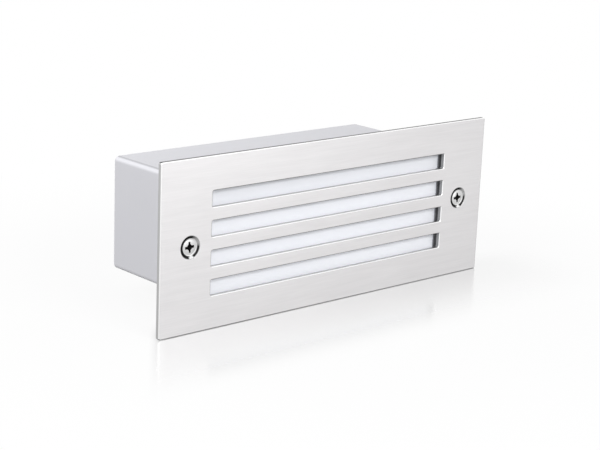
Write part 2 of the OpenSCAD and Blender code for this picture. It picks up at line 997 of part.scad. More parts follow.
module gland_body() {
    color("dimgray")
        difference() {
            union() {
                rod(gland_x, 0, gland_inner_end, gland_flange_y, gland_thread_radius);
                hex_bar(gland_x, 0, gland_flange_y, gland_neck_y, hex_radius);
                rod(gland_x, 0, gland_neck_y, gland_neck_end, gland_thread_radius);
            }
            rod(gland_x, 0, gland_inner_end - over, insert_start, gland_seat_radius);
            rod(gland_x, 0, insert_start, gland_neck_end + over, insert_radius + lead_clearance);
        }
}

module gland_seal_ring() {
    color("black")
        difference() {
            rod(gland_x, 0, box_back, gland_flange_y, gland_flats / 2);
            rod(gland_x, 0, box_back - over, gland_flange_y + over, gland_hole_radius);
        }
}

module gland_locknut() {
    color("dimgray")
        difference() {
            hex_bar(gland_x, 0, inner_back - locknut_thickness, inner_back, hex_radius);
            rod(gland_x, 0, inner_back - locknut_thickness - over, inner_back + over, gland_radius);
        }
}

module gland_insert() {
    color("black")
        difference() {
            rod(gland_x, 0, insert_start, insert_end, insert_radius);
            rod(gland_x, 0, insert_start - over, insert_end + over, cable_radius);
        }
}

module gland_dome_nut() {
    color("dimgray")
        difference() {
            union() {
                hex_bar(gland_x, 0, nut_start, nut_hex_end, hex_radius);
                taper(gland_x, 0, nut_hex_end, nut_end, gland_flats / 2, nut_end_radius);
            }
            rod(gland_x, 0, nut_start - over, nut_hex_end, gland_radius);
            rod(gland_x, 0, nut_hex_end - over, nut_chamber_end, insert_radius + drop_clearance);
            rod(gland_x, 0, nut_chamber_end - over, nut_end + over, nut_mouth_radius);
        }
}

faceplate();
face_screw_left();
face_screw_right();
wall_seal();
front_gasket();
diffuser();
housing();
gear_tray();
gear_tray_screws();
tray_grommet();
lamp_board();
lamp_chips();
lamp_connector();
lamp_board_screws();
driver_base();
driver_lid();
driver_board();
driver_transformer();
driver_capacitors();
driver_screws();
terminal_block();
terminal_clamps();
terminal_clamp_screws();
terminal_fixing_screws();
earth_screw();
earth_washer();
earth_tag();
live_lead();
neutral_lead();
earth_lead();
lamp_leads();
gland_body();
gland_seal_ring();
gland_locknut();
gland_insert();
gland_dome_nut();
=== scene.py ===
"""The look of a recessed step light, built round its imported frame.

Lengths are millimetres while a shape is being made, and metres once it is a piece.
X runs along the faceplate, the front faces -Y, and Z is up.
"""

import logging
import math
from dataclasses import dataclass, field
from enum import Enum
from functools import lru_cache
from typing import Callable, Optional, Sequence, Union

import bmesh
import bpy
from mathutils import Matrix, Vector


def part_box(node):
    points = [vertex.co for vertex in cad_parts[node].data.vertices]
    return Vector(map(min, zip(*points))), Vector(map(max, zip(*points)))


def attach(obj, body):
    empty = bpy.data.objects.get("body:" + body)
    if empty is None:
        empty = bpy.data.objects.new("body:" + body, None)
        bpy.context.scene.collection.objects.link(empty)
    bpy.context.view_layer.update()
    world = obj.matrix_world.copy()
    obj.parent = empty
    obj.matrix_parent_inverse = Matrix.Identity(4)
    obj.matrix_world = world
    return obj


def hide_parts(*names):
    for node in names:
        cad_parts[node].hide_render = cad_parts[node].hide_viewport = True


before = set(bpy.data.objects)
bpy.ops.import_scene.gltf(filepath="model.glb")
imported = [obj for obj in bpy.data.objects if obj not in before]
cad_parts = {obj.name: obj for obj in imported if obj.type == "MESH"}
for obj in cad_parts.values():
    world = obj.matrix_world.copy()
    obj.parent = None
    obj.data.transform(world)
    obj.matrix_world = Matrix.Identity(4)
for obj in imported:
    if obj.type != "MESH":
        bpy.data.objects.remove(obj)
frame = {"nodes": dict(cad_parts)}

log = logging.getLogger("step_light")

MM = 0.001
QUARTER_TURN = math.pi / 2
FULL_TURN = 2 * math.pi

Colour = tuple[float, float, float]
Point = tuple[float, float, float]
Pair = tuple[float, float]
Stops = Sequence[tuple[float, Colour]]
Ring = list[Vector]
Vert, Edge, Face = bmesh.types.BMVert, bmesh.types.BMEdge, bmesh.types.BMFace


class Body(Enum):
    """The bodies that the pieces ride on."""

    LIGHT = "light_body"
    COVER = "cover"
    LEFT_SCREW = "left_screw"
    RIGHT_SCREW = "right_screw"
    GLAND_NUT = "gland_nut"


@dataclass(frozen=True)
class Span:
    """The box that one node fills, in millimetres."""

    low: Vector
    high: Vector

    @classmethod
    def of(cls, node: str) -> "Span":
        """Reads a node's box from the frame."""
        low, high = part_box(node)
        return cls(low / MM, high / MM)

    @property
    def size(self) -> Vector:
        """Width, depth and height."""
        return self.high - self.low

    @property
    def middle(self) -> Vector:
        """The centre of the box."""
        return (self.high + self.low) / 2


def box_of(node: str) -> Span:
    """A dataclass field that holds one node's box."""
    return field(default_factory=lambda: Span.of(node))


# Shader graphs


class Sock:
    """A shader number that adds its own Math nodes where it stands in a sum."""

    def __init__(self, graph: "Graph", socket: bpy.types.NodeSocket) -> None:
        """Args: graph, the tree that it belongs to; socket, the output that holds it."""
        self.graph = graph
        self.socket = socket

    def _math(self, operation: str, first: "Value", second: "Value" = 0.0) -> "Sock":
        """Adds one Math node and gives its result."""
        return self.graph.node("ShaderNodeMath", {"operation": operation}, {0: first, 1: second})

    def __add__(self, other: "Value") -> "Sock":
        """self + other."""
        return self._math("ADD", self, other)

    def __sub__(self, other: "Value") -> "Sock":
        """self - other."""
        return self._math("SUBTRACT", self, other)

    def __rsub__(self, other: "Value") -> "Sock":
        """other - self."""
        return self._math("SUBTRACT", other, self)

    def __mul__(self, other: "Value") -> "Sock":
        """self * other."""
        return self._math("MULTIPLY", self, other)

    def __truediv__(self, other: "Value") -> "Sock":
        """self / other."""
        return self._math("DIVIDE", self, other)

    def highest(self, other: "Value") -> "Sock":
        """The larger of the two."""
        return self._math("MAXIMUM", self, other)

    def above(self, other: "Value") -> "Sock":
        """1 where self is more than other, and 0 elsewhere."""
        return self._math("GREATER_THAN", self, other)

    def angle_to(self, other: "Value") -> "Sock":
        """The angle whose sine and cosine are as self and other."""
        return self._math("ARCTAN2", self, other)

    def part(self) -> "Sock":
        """What is left past the last whole number."""
        return self._math("FRACT", self)

    def root(self) -> "Sock":
        """The square root."""
        return self._math("SQRT", self)

    def size(self) -> "Sock":
        """Self without its sign."""
        return self._math("ABSOLUTE", self)

    def sign(self) -> "Sock":
        """1 or -1."""
        return self._math("SIGN", self)


Value = Union[Sock, float]


class Graph:
    """A node tree, and the few ways in which this script adds to it."""

    def __init__(self, tree: bpy.types.NodeTree) -> None:
        """Args: tree, which is emptied first."""
        self.tree = tree
        tree.nodes.clear()

    def node(
        self,
        kind: str,
        settings: Optional[dict] = None,
        inputs: Optional[dict] = None,
        output: Union[int, str] = 0,
    ) -> Sock:
        """Adds a node.

        Args:
            kind: the node's type.
            settings: attributes, which are set first; stops are a colour ramp's.
            inputs: values or links, by socket name or number.
            output: which output to give back.

        Returns:
            That output.
        """
        new = self.tree.nodes.new(kind)
        for name, value in (settings or {}).items():
            if name == "stops":
                self._set_stops(new.color_ramp, value)
            else:
                setattr(new, name, value)
        for key, value in (inputs or {}).items():
            if isinstance(value, Sock):
                self.tree.links.new(value.socket, new.inputs[key])
            else:
                new.inputs[key].default_value = value
        return Sock(self, new.outputs[output] if len(new.outputs) else None)

    @staticmethod
    def _set_stops(ramp: bpy.types.ColorRamp, stops: Stops) -> None:
        """Gives a ramp its stops, as pairs of place and colour."""
        while len(ramp.elements) < len(stops):
            ramp.elements.new(1.0)
        for element, (place, colour) in zip(ramp.elements, stops):
            element.position = place
            element.color = (*colour, 1.0)

    def place(self, scale: Point) -> Sock:
        """Object coordinates, with so many repeats per millimetre along X, Y and Z."""
        raw = self.node("ShaderNodeTexCoord", output="Object")
        per_metre = tuple(value / MM for value in scale)
        return self.node("ShaderNodeMapping", {}, {"Vector": raw, "Scale": per_metre})

    def millimetres(self) -> tuple[Sock, Sock, Sock]:
        """X, Y and Z of the surface in millimetres."""
        place = self.place((1, 1, 1))
        parts = self.node("ShaderNodeSeparateXYZ", {}, {"Vector": place}).socket.node.outputs
        return Sock(self, parts["X"]), Sock(self, parts["Y"]), Sock(self, parts["Z"])

    def noise(self, vector: Sock, detail: float = 2.0, rough: float = 0.5) -> Sock:
        """Noise with one repeat for each unit of the vector."""
        values = {"Vector": vector, "Scale": 1.0, "Detail": detail, "Roughness": rough}
        return self.node("ShaderNodeTexNoise", {}, values, "Fac")

    def even(self, repeats: float, detail: float = 2.0, rough: float = 0.5) -> Sock:
        """Noise that is alike all ways, with so many repeats per millimetre."""
        return self.noise(self.place((repeats,) * 3), detail, rough)

    def mix(
        self, factor: Value, first: Union[Sock, Colour], second: Union[Sock, Colour], blend: str = "MIX"
    ) -> Sock:
        """A colour between two."""
        rgba = [value if isinstance(value, Sock) else (*value, 1.0) for value in (first, second)]
        settings = {"data_type": "RGBA", "blend_type": blend}
        return self.node("ShaderNodeMix", settings, {0: factor, 6: rgba[0], 7: rgba[1]}, 2)

    def ramp(self, factor: Sock, stops: Stops) -> Sock:
        """A colour from a ramp."""
        return self.node("ShaderNodeValToRGB", {"stops": stops}, {"Fac": factor})

    def fade(
        self, value: Sock, start: float, end: float, low: float = 0.0, high: float = 1.0, smooth: bool = False
    ) -> Sock:
        """A number that goes from low to high while the value goes from start to end."""
        settings = {"interpolation_type": "SMOOTHSTEP" if smooth else "LINEAR"}
        values = {"Value": value, 1: start, 2: end, 3: low, 4: high}
        return self.node("ShaderNodeMapRange", settings, values)

    def bump(self, height: Sock, depth: float, strength: float = 1.0) -> Sock:
        """A normal from a height; depth is in millimetres."""
        values = {"Height": height, "Distance": depth * MM, "Strength": strength}
        return self.node("ShaderNodeBump", {}, values)

    def finish(self, shader: Sock, kind: str = "ShaderNodeOutputMaterial") -> None:
        """Ends the tree in this shader."""
        self.node(kind, {}, {"Surface": shader})


# Finishes


@dataclass(frozen=True)
class Finish:
    """A surface finish. Each kind of finish says how it is shaded.

    Args:
        name: the material's name.
        colour: its main colour.
        roughness: its mean roughness.
    """

    name: str
    colour: Colour
    roughness: float = 0.5

    def shaded(self, graph: Graph) -> dict:
        """The inputs of the Principled shader."""
        raise NotImplementedError

    def tinted(self, share: float) -> Colour:
        """The main colour made lighter or darker by a share."""
        return tuple(min(1.0, channel * (1 + share)) for channel in self.colour)

    def clouded(self, graph: Graph, factor: Sock, share: float) -> Sock:
        """The main colour, darker and lighter by a share as a factor goes from 0 to 1."""
        return graph.mix(factor, self.tinted(-share), self.tinted(share))

    def worn(self, wear: Sock, swing: float) -> Sock:
        """The roughness, which swings about its mean with a wear from 0 to 1."""
        return (wear - 0.5) * swing + self.roughness

    @lru_cache(maxsize=None)
    def material(self) -> bpy.types.Material:
        """The finish as a material, made once."""
        made = bpy.data.materials.new(self.name)
        made.use_nodes = True
        graph = Graph(made.node_tree)
        graph.finish(graph.node("ShaderNodeBsdfPrincipled", {}, self.shaded(graph)))
        return made


@dataclass(frozen=True)
class BrushedMetal(Finish):
    """Metal with a straight grain.

    Args:
        run: length of a grain line, in millimetres.
        line: width of a grain line, in millimetres.
        grain: how much the lines change the colour.
        depth: how deep the lines are, in millimetres.
        anisotropy: how much the shine is drawn out across the grain.
    """

    run: float = 16.0
    line: float = 0.38
    grain: float = 0.15
    depth: float = 0.004
    anisotropy: float = 0.5

    def shaded(self, graph: Graph) -> dict:
        """Fine and broad grain lines over slow, faint clouding."""
        narrow, wide = 1 / self.line, 1 / (self.line * 5)
        fine = graph.noise(graph.place((1 / self.run, narrow, narrow)), 4.0, 0.6)
        broad = graph.noise(graph.place((0.5 / self.run, wide, wide)), 3.0)
        cloud = graph.noise(graph.place((0.02, 0.02, 0.03)))
        lines = fine * 0.6 + broad * 0.4
        return {
            "Base Color": self.clouded(graph, lines * 0.8 + cloud * 0.2, self.grain),
            "Metallic": 1.0,
            "Roughness": self.worn(lines, 0.16),
            "Anisotropic": self.anisotropy,
            "Anisotropic Rotation": 0.25,
            "Normal": graph.bump(lines, self.depth),
        }


@dataclass(frozen=True)
class TurnedMetal(Finish):
    """Metal as it comes off a lathe or a press, with faint scuffs.

    Args:
        scuff: size of a scuff, in millimetres.
        contrast: how much the scuffs change the colour.
        painted_glow: strength of painted light that the surface gives off all round, though it is no lamp.
    """

    scuff: float = 0.8
    contrast: float = 0.08
    painted_glow: float = 0.0

    def shaded(self, graph: Graph) -> dict:
        """Scuffs of two sizes in the colour, the shine and the surface."""
        fine = graph.even(6 / self.scuff)
        wear = graph.even(1 / self.scuff, 4.0, 0.65) * 0.7 + fine * 0.3
        return {
            "Base Color": self.clouded(graph, wear, self.contrast),
            "Metallic": 1.0,
            "Roughness": self.worn(wear, 0.2),
            "Normal": graph.bump(fine, 0.003),
            # Painted light: the emission makes the metal give off light, though it is no lamp.
            "Emission Color": (*self.colour, 1.0),
            "Emission Strength": self.painted_glow,
        }


@dataclass(frozen=True)
class PowderPaint(Finish):
    """Baked powder paint, with the fine orange peel that it dries to.

    Args:
        peel: size of one dimple, in millimetres.
        depth: how deep the dimples are, in millimetres.
    """

    peel: float = 0.9
    depth: float = 0.012

    def shaded(self, graph: Graph) -> dict:
        """Peel in the surface, and clouding in the colour and the shine."""
        peel = graph.even(1 / self.peel)
        cloud = graph.even(0.03, 3.0) * 0.7 + graph.even(4 / self.peel, 1.0) * 0.3
        return {
            "Base Color": self.clouded(graph, cloud, 0.02),
            "Roughness": self.worn(peel, 0.1),
            "Specular IOR Level": 0.4,
            "Normal": graph.bump(peel, self.depth),
        }


@dataclass(frozen=True)
class PaintWithEdgeShadeAndHighlight(PowderPaint):
    """Powder paint on a box, with painted shade and a painted highlight in bands along its long round edges.

    Args:
        half_width: half the box's width, in millimetres.
        half_height: half the box's height, in millimetres.
        radius: radius of the long edges, in millimetres.
        shares: pairs of the place round an edge and the share of the colour there, which paint the shade and
            the highlight.
    """

    half_width: float = 78.5
    half_height: float = 27.5
    radius: float = 2.5
    shares: tuple[Pair, ...] = (
        (0.0, 1.0), (0.14, 0.70), (0.30, 0.74), (0.46, 1.10), (0.70, 1.16), (1.0, 1.0),
    )

    def shaded(self, graph: Graph) -> dict:
        """The plain paint, with painted shade and a painted highlight by the angle round the edge."""
        inputs = super().shaded(graph)
        x, _, z = graph.millimetres()
        out = (x.size() - (self.half_width - self.radius)).highest(0.0)
        up = (z.size() - (self.half_height - self.radius)).highest(0.0001)
        turn = out.angle_to(up) * (1 / QUARTER_TURN)
        # Painted shade on the part of each long round edge next to the top or bottom face, and a painted
        # highlight further round.
        band = graph.ramp(turn, [(at, (share,) * 3) for at, share in self.shares])
        inputs["Base Color"] = graph.mix(1.0, inputs["Base Color"], band, "MULTIPLY")
        return inputs


@dataclass(frozen=True)
class GapShadeAndGlints(Finish):
    """The narrow gap round a screw head, in painted shade: black, with a painted glint on two stretches.

    Args:
        axis_x: how far each screw's axis is from the middle, in millimetres.
        grey: the dull stretch of painted glint, at the upper right.
        bright: the bright stretch of painted glint, below.
    """

    axis_x: float = 86.0
    grey: float = 0.52
    bright: float = 0.92

    def ring(self, graph: Graph, across: Sock, up: Sock) -> Sock:
        """The gap's painted shade and glints by the angle round the screw's axis."""
        turn = up.angle_to(across) / FULL_TURN + 0.5
        black, grey, bright = self.colour, (self.grey,) * 3, (self.bright,) * 3
        stops = ((0.0, black), (0.235, black), (0.262, bright), (0.310, bright), (0.325, black))
        stops += ((0.49, black), (0.54, grey), (0.63, grey), (0.70, black))
        return graph.ramp(turn, stops)

    def from_axis(self, graph: Graph) -> tuple[Sock, Sock]:
        """The place across and up from the nearer screw's axis, in millimetres."""
        x, _, z = graph.millimetres()
        return x - x.sign() * self.axis_x, z

    def shaded(self, graph: Graph) -> dict:
        """Painted shade and glints: a ramp by the angle round the nearer screw's axis."""
        return {
            "Base Color": self.ring(graph, *self.from_axis(graph)),
            "Roughness": self.worn(graph.even(4), 0.2),
            "Specular IOR Level": 0.25,
        }


@dataclass(frozen=True)
class HeadFace(GapShadeAndGlints):
    """A screw head's face: a bright turned disc, and past it the gap's painted shade and glints over the
    head's rim.

    Args:
        disc: the bright disc's colour.
        contrast: how much the wear changes it.
        disc_radius: its radius, in millimetres.
        disc_shift: how far it sits off the axis, away from the light, in millimetres, so that the painted
            shade round it is wider on the other side.
        disc_soft: half the width of its edge, in millimetres.
    """

    disc: Colour = (0.66, 0.66, 0.66)
    contrast: float = 0.16
    disc_radius: float = 4.0
    disc_shift: float = 0.2
    disc_soft: float = 0.1

    def shaded(self, graph: Graph) -> dict:
        """Turned rings and scuffs on the disc, and the gap's painted shade and glints past it."""
        across, up = self.from_axis(graph)
        off = across - self.disc_shift
        radius = (off * off + up * up).root()
        # Past the disc the colour is the gap's painted shade and glints.
        past = graph.fade(radius, self.disc_radius - self.disc_soft, self.disc_radius + self.disc_soft)
        turned = graph.noise(graph.node("ShaderNodeCombineXYZ", {}, {"X": radius * 2.5}))
        wear = graph.even(1.4, 4.0, 0.65) * 0.5 + turned * 0.5
        shares = (1 - self.contrast, 1 + self.contrast)
        low, high = (tuple(channel * share for channel in self.disc) for share in shares)
        return {
            "Base Color": graph.mix(past, graph.mix(wear, low, high), self.ring(graph, across, up)),
            "Metallic": 1 - past,
            "Roughness": self.worn(wear, 0.2),
            "Normal": graph.bump(turned, 0.01),
        }


@dataclass(frozen=True)
class Moulded(Finish):
    """Moulded plastic or rubber with a fine grain.

    Args:
        grain: size of the grain, in millimetres.
        depth: how deep the grain is, in millimetres.
        contrast: how much the colour clouds.
        specular: the shader's specular level.
        painted_glow: strength of painted light that the surface gives off, though it is no lamp.
    """

    grain: float = 0.5
    depth: float = 0.01
    contrast: float = 0.05
    specular: float = 0.5
    painted_glow: float = 0.0

    def shaded(self, graph: Graph) -> dict:
        """Grain in the surface and the shine, and clouding in the colour."""
        grain = graph.even(1 / self.grain, 3.0)
        return {
            "Base Color": self.clouded(graph, graph.even(0.08, 3.0), self.contrast),
            "Roughness": self.worn(grain, 0.12),
            "Specular IOR Level": self.specular,
            "Normal": graph.bump(grain, self.depth),
            # Painted light: the emission makes the surface give off light, though it is no lamp.
            "Emission Color": (*self.colour, 1.0),
            "Emission Strength": self.painted_glow,
        }


@dataclass(frozen=True)
class RubberWithPaintedLip(Moulded):
    """Rubber beside the diffuser, with painted light on its back lip where light from the sheet's face would
    fall.

    Args:
        lip: colour of the painted light on the lip, where it meets the sheet.
        start: where the lip starts to pale, in millimetres behind the wall plane.
        end: where it meets the sheet, in millimetres behind the wall plane.
    """

    lip: Colour = (0.55, 0.56, 0.59)
    start: float = -0.2
    end: float = 1.5

    def shaded(self, graph: Graph) -> dict:
        """The plain rubber, with painted light paling it towards the sheet."""
        inputs = super().shaded(graph)
        # Painted light: the rubber pales towards the sheet.
        pale = graph.fade(graph.millimetres()[1], self.start, self.end)
        inputs["Base Color"] = graph.mix(pale * pale, inputs["Base Color"], self.lip)
        return inputs


@dataclass(frozen=True)
class OpalSheetPaintedLight(Moulded):
    """Opal plastic, with painted shade towards its upper edge and painted light towards its lower one.

    Args:
        upper: change of the colour at the upper edge as painted shade, as a share.
        lower: change of the colour at the lower edge as painted light, as a share.
        start: how far from the middle the change starts, in millimetres.
        end: where it is whole, in millimetres from the middle.
    """

    upper: float = -0.068
    lower: float = 0.04
    start: float = 9.0
    end: float = 20.0

    def shaded(self, graph: Graph) -> dict:
        """The plain sheet, with painted shade and painted light by height."""
        inputs = super().shaded(graph)
        _, _, z = graph.millimetres()
        for side, change in ((1, self.upper), (-1, self.lower)):
            near = graph.fade(z, side * self.start, side * self.end)
            inputs["Base Color"] = graph.mix(near, inputs["Base Color"], self.tinted(change))
        return inputs


@dataclass(frozen=True)
class Foam(Finish):
    """Closed-cell foam rubber.

    Args:
        cell: size of one cell, in millimetres.
    """

    cell: float = 0.6

    def shaded(self, graph: Graph) -> dict:
        """Cells in the surface, with darker pits."""
        values = {"Vector": graph.place((1 / self.cell,) * 3), "Scale": 1.0}
        cells = graph.node("ShaderNodeTexVoronoi", {}, values, "Distance")
        cloud = cells * 0.8 + graph.even(0.3) * 0.2
        return {
            "Base Color": graph.mix(cloud, self.tinted(-0.45), self.tinted(0.35)),
            "Roughness": self.worn(cells, 0.1),
            "Specular IOR Level": 0.2,
            "Normal": graph.bump(cells, 0.12, 0.7),
        }


@dataclass(frozen=True)
class LampBoardResist(Moulded):
    """White solder resist with tinned pads beside each chip and a raised track along each row.

    Args:
        pitch: distance between chips along a row, in millimetres.
        row: distance of each row from the middle, in millimetres.
        pad_reach: how far the pads reach from a chip's centre, in millimetres.
        pad_half: half a pad's height, in millimetres.
        tin: the pads' colour.
    """

    pitch: float = 11.0
    row: float = 5.0
    pad_reach: float = 2.5
    pad_half: float = 1.0
    tin: Colour = (0.70, 0.70, 0.71)

    def shaded(self, graph: Graph) -> dict:
        """The plain resist, with the pads and the tracks laid over it."""
        inputs = super().shaded(graph)
        x, _, z = graph.millimetres()
        from_chip = (((x / self.pitch + 0.5).part() - 0.5) * self.pitch).size()
        from_row = (z.size() - self.row).size()
        pad = (1 - from_chip.above(self.pad_reach)) * (1 - from_row.above(self.pad_half))
        track = 1 - from_row.above(self.pad_half * 1.5)
        inputs["Base Color"] = graph.mix(pad, inputs["Base Color"], self.tin)
        inputs["Metallic"] = pad
        inputs["Normal"] = graph.bump(track + graph.even(1 / self.grain, 3.0) * 0.1, 0.04)
        return inputs


@dataclass(frozen=True)
class WoundCore(Moulded):
    """A transformer: dark ferrite limbs round a coil under yellow tape.

    Args:
        middle: the coil's place along X and the yoke's end along Y, in millimetres.
        coil_half: half the coil's width, in millimetres.
        ferrite: the limbs' colour.
        wrap: width of one turn of tape, in millimetres.
    """

    middle: Pair = (-25.0, 44.6)
    coil_half: float = 4.0
    ferrite: Colour = (0.045, 0.045, 0.048)
    wrap: float = 2.6

    def shaded(self, graph: Graph) -> dict:
        """Tape between the limbs, with a faint line where each turn ends."""
        inputs = super().shaded(graph)
        x, y, _ = graph.millimetres()
        beside = (x - self.middle[0]).size().above(self.coil_half)
        limb = beside.highest(1 - y.above(self.middle[1]))
        seam = ((y - self.middle[1]) / self.wrap).part().above(0.93)
        tape = graph.mix(seam, inputs["Base Color"], self.tinted(-0.35))
        inputs["Base Color"] = graph.mix(limb, tape, self.ferrite)
        inputs["Roughness"] = limb * 0.2 + self.roughness
        return inputs


BRUSHED_PLATE = BrushedMetal("brushed_plate", (0.699, 0.688, 0.694), 0.40)
# The plate's cut walls in copies of one finish by facing, as painted light: the slots' long walls lightest,
# the slot ends and the outer left and right walls darker, and the outer top and bottom walls darkest as
# painted shade.
SLOT_WALL = TurnedMetal("slot_wall", (0.55, 0.55, 0.55), 0.40, 0.5, 0.12)
SLOT_END_PAINTED_SHADE = TurnedMetal("slot_end_painted_shade", (0.36, 0.36, 0.36), 0.36, 0.5, 0.15)
SIDE_EDGE = TurnedMetal("plate_side_edge", (0.42, 0.42, 0.422), 0.50, 0.5, 0.12)
LONG_EDGE_PAINTED_SHADE = TurnedMetal("plate_long_edge_painted_shade", (0.16, 0.16, 0.16), 0.42, 0.5, 0.12)
# Painted highlight: the lit copy of the front rim, which also gives off painted light.
RIM_PAINTED_HIGHLIGHT = TurnedMetal("rim_painted_highlight", (0.92, 0.92, 0.92), 0.34, 0.5, 0.03, 0.07)
SINK_RIM = TurnedMetal("sink_rim", (0.46, 0.46, 0.46), 0.55, 0.5, 0.08)
# Painted shade: the shaded copy of the front rim, a near black copy along the plate's foot, and a lighter lit
# copy along its left end.
RIM_PAINTED_SHADE = TurnedMetal("rim_painted_shade", (0.21, 0.21, 0.21), 0.40, 0.5, 0.10)
FOOT_RIM_PAINTED_SHADE = TurnedMetal("rim_at_foot_painted_shade", (0.06, 0.06, 0.06), 0.45, 0.5, 0.10)
SIDE_RIM_PAINTED_HIGHLIGHT = TurnedMetal("rim_at_side_painted_highlight", (0.80, 0.80, 0.80), 0.42, 0.5, 0.03)
# The gap round each screw: painted shade, with painted glints on two stretches.
SINK_SHADE_AND_GLINTS = GapShadeAndGlints("sink_painted_shade_and_glints", (0.010, 0.010, 0.010), 0.5)
# The screw heads' face: a turned steel disc, with the gap's painted shade and glints past it.
SCREW_FACE = HeadFace("screw_face", (0.010, 0.010, 0.010), 0.36)
# Painted shade: the screw's cross recess painted near black, as the shade in it.
SCREW_RECESS_SHADE = Moulded("screw_recess_painted_shade", (0.008, 0.008, 0.008), 0.6, 0.4, 0.01, 0.3, 0.1)
SCREW_THREAD = TurnedMetal("screw_thread", (0.60, 0.60, 0.60), 0.32, 0.6, 0.10)
# Grey casting paint, with painted shade and a painted highlight along the long round edges.
CASTING_PAINT_WITH_PAINTED_EDGE_LIGHT = PaintWithEdgeShadeAndHighlight("casting_paint", (0.655, 0.655, 0.690), 0.46)
TRAY_PAINT = PowderPaint("tray_paint", (0.85, 0.85, 0.84), 0.42, 0.8, 0.008)
# The opal sheet: painted shade towards its upper edge, painted light towards its lower one, and faint painted
# light given off with no lamp lit behind it.
OPAL_PAINTED_LIGHT = OpalSheetPaintedLight("opal_sheet_painted_light", (0.868, 0.883, 0.925), 0.38, 0.8, 0.004, 0.01, 0.4, 0.085)
BLACK_RUBBER = Moulded("black_rubber", (0.030, 0.030, 0.032), 0.55, 0.4, 0.02, 0.15, 0.4)
# Black rubber whose back lip is paled with painted light.
GASKET_RUBBER_PAINTED_LIP = RubberWithPaintedLip("gasket_rubber_painted_lip_light", (0.045, 0.045, 0.047), 0.50, 0.35, 0.02, 0.15, 0.4)
FOAM = Foam("foam_rubber", (0.085, 0.085, 0.09), 0.8)
WHITE_RESIST = LampBoardResist("white_resist", (0.84, 0.84, 0.82), 0.35, 1.2, 0.006, 0.02)
PHOSPHOR = Moulded("phosphor", (0.90, 0.76, 0.26), 0.22, 0.25, 0.006, 0.05)
IVORY = Moulded("ivory_nylon", (0.80, 0.77, 0.68), 0.42, 0.5, 0.008, 0.03)
ZINC = TurnedMetal("zinc_plate", (0.66, 0.67, 0.69), 0.33)
CASE_PLASTIC = Moulded("case_plastic", (0.78, 0.78, 0.76), 0.5, 0.35, 0.015, 0.03)
GREEN_RESIST = Moulded("green_resist", (0.030, 0.20, 0.08), 0.3, 1.5, 0.006, 0.12)
COIL_TAPE = WoundCore("coil_tape", (0.72, 0.55, 0.10), 0.35, 1.2, 0.01, 0.06)
SLEEVE = Moulded("capacitor_sleeve", (0.06, 0.07, 0.10), 0.25, 1.0, 0.006, 0.12)
BRASS = TurnedMetal("brass", (0.72, 0.56, 0.25), 0.28, 0.6, 0.07)
BROWN_PVC, BLUE_PVC, GREEN_PVC, YELLOW_PVC, RED_PVC, BLACK_PVC = (
    Moulded(f"{name}_pvc", colour, 0.38, 0.5, 0.006, 0.1)
    for name, colour in (
        ("brown", (0.20, 0.09, 0.04)), ("blue", (0.03, 0.14, 0.42)), ("green", (0.05, 0.30, 0.06)),
        ("yellow", (0.75, 0.62, 0.05)), ("red", (0.45, 0.04, 0.03)), ("black", (0.02, 0.02, 0.02)),
    )
)
CHIP_PACKAGE = Moulded("chip_package", (0.86, 0.86, 0.84), 0.35, 0.4, 0.004, 0.02)
CAN_TOP = TurnedMetal("can_top", (0.78, 0.78, 0.79), 0.36, 0.5, 0.05)
COPPER = TurnedMetal("copper", (0.72, 0.38, 0.22), 0.32, 0.3, 0.10)
GLAND_NYLON = Moulded("gland_nylon", (0.070, 0.070, 0.075), 0.42, 0.6, 0.01, 0.1)


# Shapes


def ring_of(radius_at: Callable[[float], float], y: float, count: int, x: float = 0, z: float = 0) -> Ring:
    """A closed ring of points about a Y axis, whose radius depends on the angle."""
    angles = [FULL_TURN * step / count for step in range(count)]
    return [Vector((x + radius_at(a) * math.cos(a), y, z + radius_at(a) * math.sin(a))) for a in angles]


def round_ring(radius: float, y: float, count: int, x: float = 0, z: float = 0) -> Ring:
    """A circle of points about a Y axis."""
    return ring_of(lambda angle: radius, y, count, x, z)


def arc(radius: float, y: float, start: int, turn: int, steps: int, x: float = 0, z: float = 0) -> Ring:
    """Points along an arc about a Y axis; its start and its turn are in quarter turns."""
    angles = [QUARTER_TURN * (start + turn * step / steps) for step in range(steps + 1)]
    return [Vector((x + radius * math.cos(a), y, z + radius * math.sin(a))) for a in angles]


def box_ring(width: float, height: float, radius: float, y: float, steps: int = 6, z: float = 0) -> Ring:
    """A rectangle of points with round corners, counterclockwise seen with X to the right and Z up."""
    half_x, half_z = width / 2 - radius, height / 2 - radius
    points = []
    for start, (side, rise) in enumerate(((1, 1), (-1, 1), (-1, -1), (1, -1))):
        points += arc(radius, y, start, 1, steps, side * half_x, z + rise * half_z)
    return points


def slab_rings(size: Pair, corners: Pair, ends: Pair, inset: float, steps: int) -> list[Ring]:
    """The rings of a slab with softened end edges.

    Args:
        size: its width and height.
        corners: its corner radius at its ends, and between them.
        ends: where it starts and where it ends along Y.
        inset: how far its ends are drawn in; less than 0 for an opening, whose ends are let out.
        steps: how many edges each corner has.

    Returns:
        Four rings, from one end to the other.
    """
    small = (size[0] - 2 * inset, size[1] - 2 * inset, corners[0])
    full, soft = (*size, corners[1]), abs(inset)
    stations = ((small, ends[0]), (full, ends[0] + soft), (full, ends[1] - soft), (small, ends[1]))
    return [box_ring(*outline, y, steps) for outline, y in stations]


def hex_radius(flats: float) -> Callable[[float], float]:
    """The radius of a hexagon at an angle, from its distance across flats."""
    sixth = math.pi / 3
    return lambda angle: flats / 2 / math.cos((angle + sixth / 2) % sixth - sixth / 2)


def only(kind: type, items: Sequence) -> list:
    """The items of one kind."""
    return [item for item in items if isinstance(item, kind)]


def placed(name: str, data: bpy.types.ID) -> bpy.types.Object:
    """Adds an object to the scene."""
    made = bpy.data.objects.new(name, data)
    bpy.context.scene.collection.objects.link(made)
    return made


